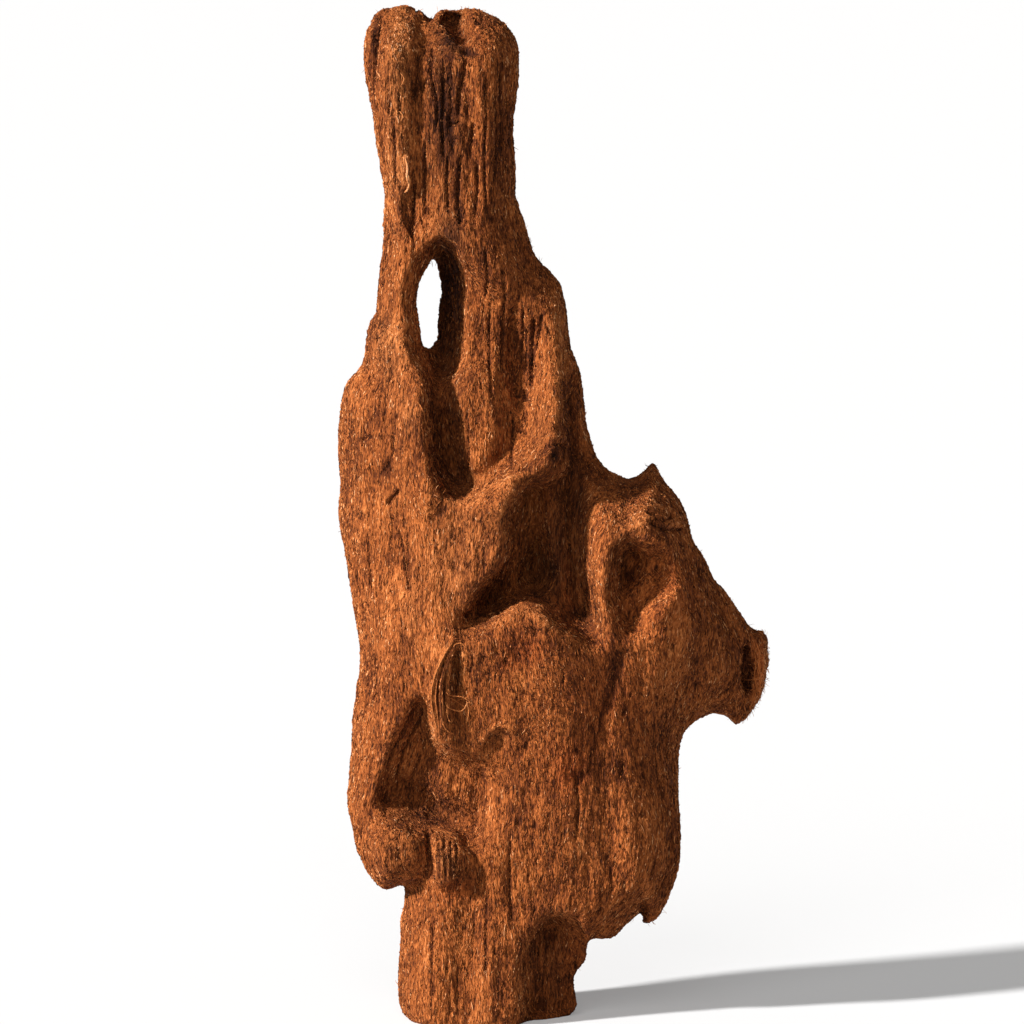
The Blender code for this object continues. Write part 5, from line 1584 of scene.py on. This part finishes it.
@dataclass
class LooseFibres:
    """The threads that hang at the torn places, and short hairs along the edges."""

    surface: Surface
    relief: Relief
    masks: Masks
    stations: int = 14
    sides: int = 5
    end_angle: float = 0.25
    end_power: float = 0.4
    hairs: int = 1500
    hair_stations: int = 5
    hair_length: tuple[float, float] = (0.8, 2.8)
    hair_width: tuple[float, float] = (0.07, 0.14)
    hair_taper: tuple[float, ...] = (1.0, 0.85, 0.55)
    hair_tint: tuple[float, float] = (0.4, 1.0)
    root: float = 0.15
    outward: float = 0.6
    stray: float = 0.4
    bend: float = 0.5
    torn_facing: float = 0.3
    edge_on: float = 0.35
    edge_share: float = 0.05
    seed: int = 17
    threads: tuple[Thread, ...] = (
        # the curl that hangs across the torn flap
        Thread(((-32.4, 100.4, 0.4), (-30.9, 99, 1.6), (-29, 98.6, 2.6), (-27.2, 98.4, 2.4), (-25.2, 97, 1.2),
                (-24.6, 96, 0.5)), 0.20, 0.70),
        Thread(((-32.8, 97.6, 0.4), (-31.4, 95.6, 1.7), (-29.6, 94.6, 2.6), (-27.9, 94.2, 2.8), (-26.7, 95, 2.2),
                (-25.8, 96.6, 1.2), (-24.8, 96.6, 0.5)), 0.20, 0.74),
        Thread(((-31.6, 98.6, 0.6), (-29.6, 97.4, 1.6), (-27.6, 96, 1.8), (-26.2, 95.2, 1)), 0.17, 0.59),
        Thread(((-30.8, 95.8, 0.5), (-28.8, 97.2, 1.4), (-26.8, 98, 1.6), (-25.4, 98.2, 0.8)), 0.15, 0.52),
        Thread(((-26.2, 97.2, 1), (-25.5, 95, 1.6), (-25.6, 92.6, 1.3), (-26, 90.4, 0.3)), 0.20, 0.70),
        Thread(((-31.8, 95.8, 0.6), (-31.7, 93.2, 1.3), (-31.1, 91.4, 1.5), (-30.2, 91.3, 1), (-30, 92.2, 0.5)),
               0.18, 0.67),
        Thread(((-33.4, 92.6, 0.5), (-32.6, 89.8, 1.2), (-31, 88, 1.2), (-29.6, 87.6, 0.5)), 0.17, 0.63),
        # strands down the flap
        Thread(((-28.6, 116.6, 0.3), (-31.2, 113.4, 0.41), (-33.9, 108.6, 0.41), (-36, 102.6, 0.36), (-36.4, 97, 0.32),
                (-35.2, 91, 0.36), (-34.5, 85.6, 0.2)), 0.26, 0.70),
        Thread(((-28, 115.2, 0.3), (-30.7, 112, 0.36), (-32.8, 106.4, 0.36), (-33.8, 99.8, 0.36), (-33.4, 93, 0.32),
                (-33.4, 87.6, 0.2)), 0.24, 0.30),
        Thread(((-29, 114.2, 0.3), (-31.2, 110, 0.36), (-32.2, 104.4, 0.41), (-32.4, 98.4, 0.32), (-32.8, 90.6, 0.2)),
               0.20, 0.27),
        Thread(((-34.6, 104, 0.2), (-35.2, 98.4, 0.41), (-34.5, 92.4, 0.41), (-34.1, 86.8, 0.2)), 0.20, 0.63),
        Thread(((-26.6, 114.6, 0.2), (-28.4, 115.8, 0.45), (-30.2, 115, 0.41), (-31.4, 113, 0.2)), 0.20, 0.33),
        Thread(((-26.2, 112.8, 0.2), (-27.6, 114.4, 0.45), (-29.6, 113.9, 0.41), (-30.4, 111.8, 0.2)), 0.18, 0.70),
        Thread(((-36.2, 96, 0.2), (-37.4, 93.4, 0.32), (-36.6, 90.4, 0.3)), 0.15, 0.27),
        Thread(((-34.8, 86.4, 0.3), (-33, 85.6, 0.45), (-30.8, 84.4, 0.45), (-28.2, 83.6, 0.3)), 0.24, 0.30),
        # strands over the slit of the torn tip
        Thread(((55.9, 98.6, 0.3), (57.6, 98.4, 1.4), (59.4, 98.6, 1.6), (61, 99.4, 0.6)), 0.20, 0.74),
        Thread(((56.2, 96.2, 0.3), (57.8, 95.4, 1.2), (59.2, 95.8, 1.2), (60.4, 97, 0.5)), 0.17, 0.63),
        Thread(((60, 110.4, 0.2), (61.2, 107, 0.9), (61, 103, 1.1), (61.8, 98.6, 0.9), (60.8, 94.4, 0.2)),
               0.26, 0.55),
        Thread(((59.4, 108, 0.2), (60.2, 104, 0.9), (59.8, 100, 1), (60.4, 95.6, 0.9), (58.8, 91.6, 0.2)),
               0.24, 0.52),
        Thread(((57.6, 93.6, 0.2), (56.8, 90.6, 0.8), (57.6, 87.8, 0.8), (56.4, 85.6, 0.2)), 0.20, 0.59),
        Thread(((54.6, 93.6, 0.2), (54.2, 90.8, 0.7), (54.8, 88, 0.2)), 0.18, 0.59),
        # flakes along the neck's left ridge
        Thread(((-44, 256.4, 0.2), (-43.4, 253.4, 0.9), (-43.6, 250.6, 0.8), (-42.9, 248, 0.2)), 0.34, 0.74),
        Thread(((-43.2, 251.4, 0.2), (-42.8, 249.4, 1), (-43.2, 247.4, 0.9), (-44.4, 245.8, 0.2)), 0.34, 0.74),
        Thread(((-45.6, 281.4, 0.2), (-44.4, 279.6, 0.7), (-45.2, 277.6, 0.2)), 0.18, 0.67),
        Thread(((-46, 270.2, 0.2), (-44.8, 268.8, 0.7), (-45.4, 266.8, 0.2)), 0.18, 0.67),
        # torn ends along the slot
        Thread(((-40.6, 185.4, 0.2), (-39.2, 183.4, 0.9), (-38.4, 181, 0.9), (-38.8, 178.8, 0.2)), 0.24, 0.70),
        Thread(((-38, 183.2, 0.2), (-37.4, 180.4, 0.9), (-38, 178, 0.2)), 0.20, 0.70),
        Thread(((-36.6, 169.6, 0.2), (-35.4, 167.4, 0.9), (-36.4, 164.8, 0.2)), 0.20, 0.67),
    )

    def build(self, material: bpy.types.Material) -> list[bpy.types.Object]:
        """Makes the threads and the hairs."""
        return [self.hang(material), self.fray(np.random.default_rng(self.seed), material)]

    def hang(self, material: bpy.types.Material) -> bpy.types.Object:
        """The threads, each laid over the front of the surface at its own height.

        Args:
            material: the fibres' material.

        Returns:
            The piece.
        """
        surface = self.surface
        lines = []
        for thread in self.threads:
            curve = smooth_line(thread.points)
            picked = np.linspace(0, len(curve) - 1, self.stations)
            lines.append(np.stack([np.interp(picked, np.arange(len(curve)), column) for column in curve.T], axis=1))
        rows = np.array(lines)
        front = surface.front(rows[..., 0].ravel(), rows[..., 1].ravel()).reshape(rows.shape[:2])
        centres = np.stack([rows[..., 0], front - rows[..., 2], rows[..., 1]], axis=2)
        outs = np.zeros_like(centres)
        outs[..., 1] = -1.0
        angles = np.linspace(self.end_angle, math.pi - self.end_angle, self.stations - 2)
        taper = np.sin(angles) ** self.end_power
        widths = np.array([thread.half_width for thread in self.threads])[:, None] * taper
        mesh = Strands(self.sides).mesh("threads", centres, outs, across(centres, outs), widths, widths)
        tint = np.array([thread.tint for thread in self.threads])
        return strand_piece(mesh, surface, self.masks, outs, tint, material)

    def fray(self, random: np.random.Generator, material: bpy.types.Material) -> bpy.types.Object:
        """Short hairs, mostly where the wood is torn, and a few all along the outline.

        Args:
            random: the source of random draws.
            material: the fibres' material.

        Returns:
            The piece.
        """
        surface = self.surface
        middle = surface.middle
        edge = smoothstep(np.abs(surface.out[:, 1]), self.edge_on, 0.0) * self.edge_share
        torn = np.maximum(sum(patch.strength * np.exp(-((middle[:, 0] - patch.x) / patch.reach_x) ** 2
                                                      - ((middle[:, 2] - patch.z) / patch.reach_z) ** 2)
                              for patch in self.masks.frayed), 0)
        weight = surface.area * (edge + torn * (surface.out[:, 1] < self.torn_facing))
        starts, out = surface.scatter(random, weight, self.hairs)
        count = self.hairs
        run = self.relief.grain.direction(starts) * random.choice((-1.0, 1.0), (count, 1))
        run = unit(run + out * random.random((count, 1)) * self.outward + random.normal(0, self.stray, (count, 3)))
        bend = random.normal(0, self.bend, (count, 3))
        step = between(self.hair_length, random.random((count, 1)) ** 2) / (self.hair_stations - 1)
        centres = [starts - out * self.root]
        for _ in range(self.hair_stations - 1):
            centres.append(centres[-1] + run * step)
            run = unit(run + bend * self.bend)
        centres = np.stack(centres, axis=1)
        outs = np.repeat(out[:, None], self.hair_stations, axis=1)
        widths = between(self.hair_width, random.random((count, 1))) * np.array(self.hair_taper)
        mesh = Strands().mesh("hairs", centres, outs, across(centres, outs), widths, widths)
        tint = between(self.hair_tint, random.random(count))
        return strand_piece(mesh, surface, self.masks, outs, tint, material)


# The studio

@dataclass
class Studio:
    """A pale floor, soft light from the left and the photograph's camera."""

    camera_elevation: float = 6.0
    camera_distance: float = 2400.0
    frame_width: float = 304.0
    look_at: tuple[float, float, float] = (-12.7, 0.0, 150.3)
    sensor: float = 36.0
    floor_size: float = 60000.0
    floor_colour: tuple[float, float, float, float] = (0.62, 0.617, 0.614, 1.0)
    floor_lift: float = 0.35
    floor_roughness: float = 0.9
    floor_gloss: float = 0.1
    key_left: float = 62.0
    key_up: float = 26.0
    key_power: float = 7.3
    key_softness: float = 5.0
    front_left: float = 14.0
    front_up: float = 34.0
    front_power: float = 0.9
    front_softness: float = 40.0
    world_strength: float = 0.12
    backdrop_strength: float = 0.92
    world_colour: tuple[float, float, float, float] = (1.0, 0.99, 0.98, 1.0)
    clip_end: float = 200000.0

    def build(self) -> None:
        """Makes the floor, the lights, the world and the camera."""
        self.floor()
        self.light("key", self.key_left, self.key_up, self.key_power, self.key_softness)
        self.light("front", self.front_left, self.front_up, self.front_power, self.front_softness)
        self.world()
        self.camera()
        bpy.context.scene.view_settings.view_transform = "Standard"

    def floor(self) -> None:
        """A plain pale floor, which isn't part of the object."""
        bpy.ops.object.select_all(action="DESELECT")
        bpy.ops.mesh.primitive_plane_add(size=self.floor_size * MM, location=(0, 0, 0))
        floor = bpy.context.object
        floor.name = "floor"
        material = bpy.data.materials.new("pale floor")
        material.use_nodes = True
        shader = material.node_tree.nodes["Principled BSDF"]
        shader.inputs["Base Color"].default_value = self.floor_colour
        shader.inputs["Roughness"].default_value = self.floor_roughness
        shader.inputs["Specular IOR Level"].default_value = self.floor_gloss
        shader.inputs["Emission Color"].default_value = self.floor_colour
        layout = NodeLayout(material.node_tree)
        seen = layout.add("LightPath").outputs["Is Camera Ray"]
        layout.feed(shader.inputs["Emission Strength"], layout.math("MULTIPLY", seen, self.floor_lift))
        floor.data.materials.append(material)

    @staticmethod
    def towards(left: float, up: float) -> Vector:
        """The way to a light that stands so many degrees to the left of the front and above the floor."""
        a, e = math.radians(-left), math.radians(up)
        return Vector((math.sin(a) * math.cos(e), -math.cos(a) * math.cos(e), math.sin(e)))

    def light(self, name: str, left: float, up: float, power: float, softness: float) -> None:
        """A distant light; softness is the angle that it fills, in degrees.

        Args:
            name: the light's name.
            left: degrees to the left of the front.
            up: degrees above the floor.
            power: the light's strength.
            softness: the angle that it fills, in degrees.
        """
        lamp = bpy.data.lights.new(name, "SUN")
        lamp.energy = power
        lamp.angle = math.radians(softness)
        holder = bpy.data.objects.new(name, lamp)
        holder.rotation_euler = self.towards(left, up).to_track_quat("Z", "Y").to_euler()
        bpy.context.scene.collection.objects.link(holder)

    def world(self) -> None:
        """A pale surround: weak as light, white where the camera sees it."""
        world = bpy.data.worlds.new("surround")
        world.use_nodes = True
        layout = NodeLayout(world.node_tree)
        seen = layout.add("LightPath").outputs["Is Camera Ray"]
        strength = layout.fit(seen, 0.0, 1.0, self.world_strength, self.backdrop_strength)
        background = world.node_tree.nodes["Background"]
        background.inputs["Color"].default_value = self.world_colour
        layout.feed(background.inputs["Strength"], strength)
        bpy.context.scene.world = world

    def camera(self) -> None:
        """A long lens at the photograph's height, framed as the photograph is."""
        lens = bpy.data.cameras.new("camera")
        lens.sensor_width = self.sensor
        lens.lens = self.sensor * self.camera_distance / self.frame_width
        lens.clip_end = self.clip_end * MM
        back = self.towards(0.0, self.camera_elevation)
        holder = bpy.data.objects.new("camera", lens)
        holder.location = (Vector(self.look_at) + back * self.camera_distance) * MM
        holder.rotation_euler = (-back).to_track_quat("-Z", "Y").to_euler()
        bpy.context.scene.collection.objects.link(holder)
        bpy.context.scene.camera = holder


def triangle_count(piece: bpy.types.Object) -> int:
    """How many triangles a piece has."""
    return sum(len(face.vertices) - 2 for face in piece.data.polygons)


def main() -> None:
    """Builds the pieces in order and reports each."""
    logging.basicConfig(level=logging.INFO, format="%(message)s")
    grain = GrainField()
    relief = Relief(grain)
    masks = Masks(grain)
    groups = NodeGroups()
    body = WoodBody(relief, masks).build(groups)
    pieces = [body]
    surface = Surface(body)
    fibres = FIBRE_FINISH.material(groups)
    for kind in FIBRE_KINDS:
        pieces += FibreCoat(surface, relief, masks, kind).build(fibres)
    pieces += LooseFibres(surface, relief, masks).build(fibres)
    Studio().build()
    for piece in pieces:
        log.info("%s: %d triangles", piece.name, triangle_count(piece))


if __name__ == "__main__":
    main()
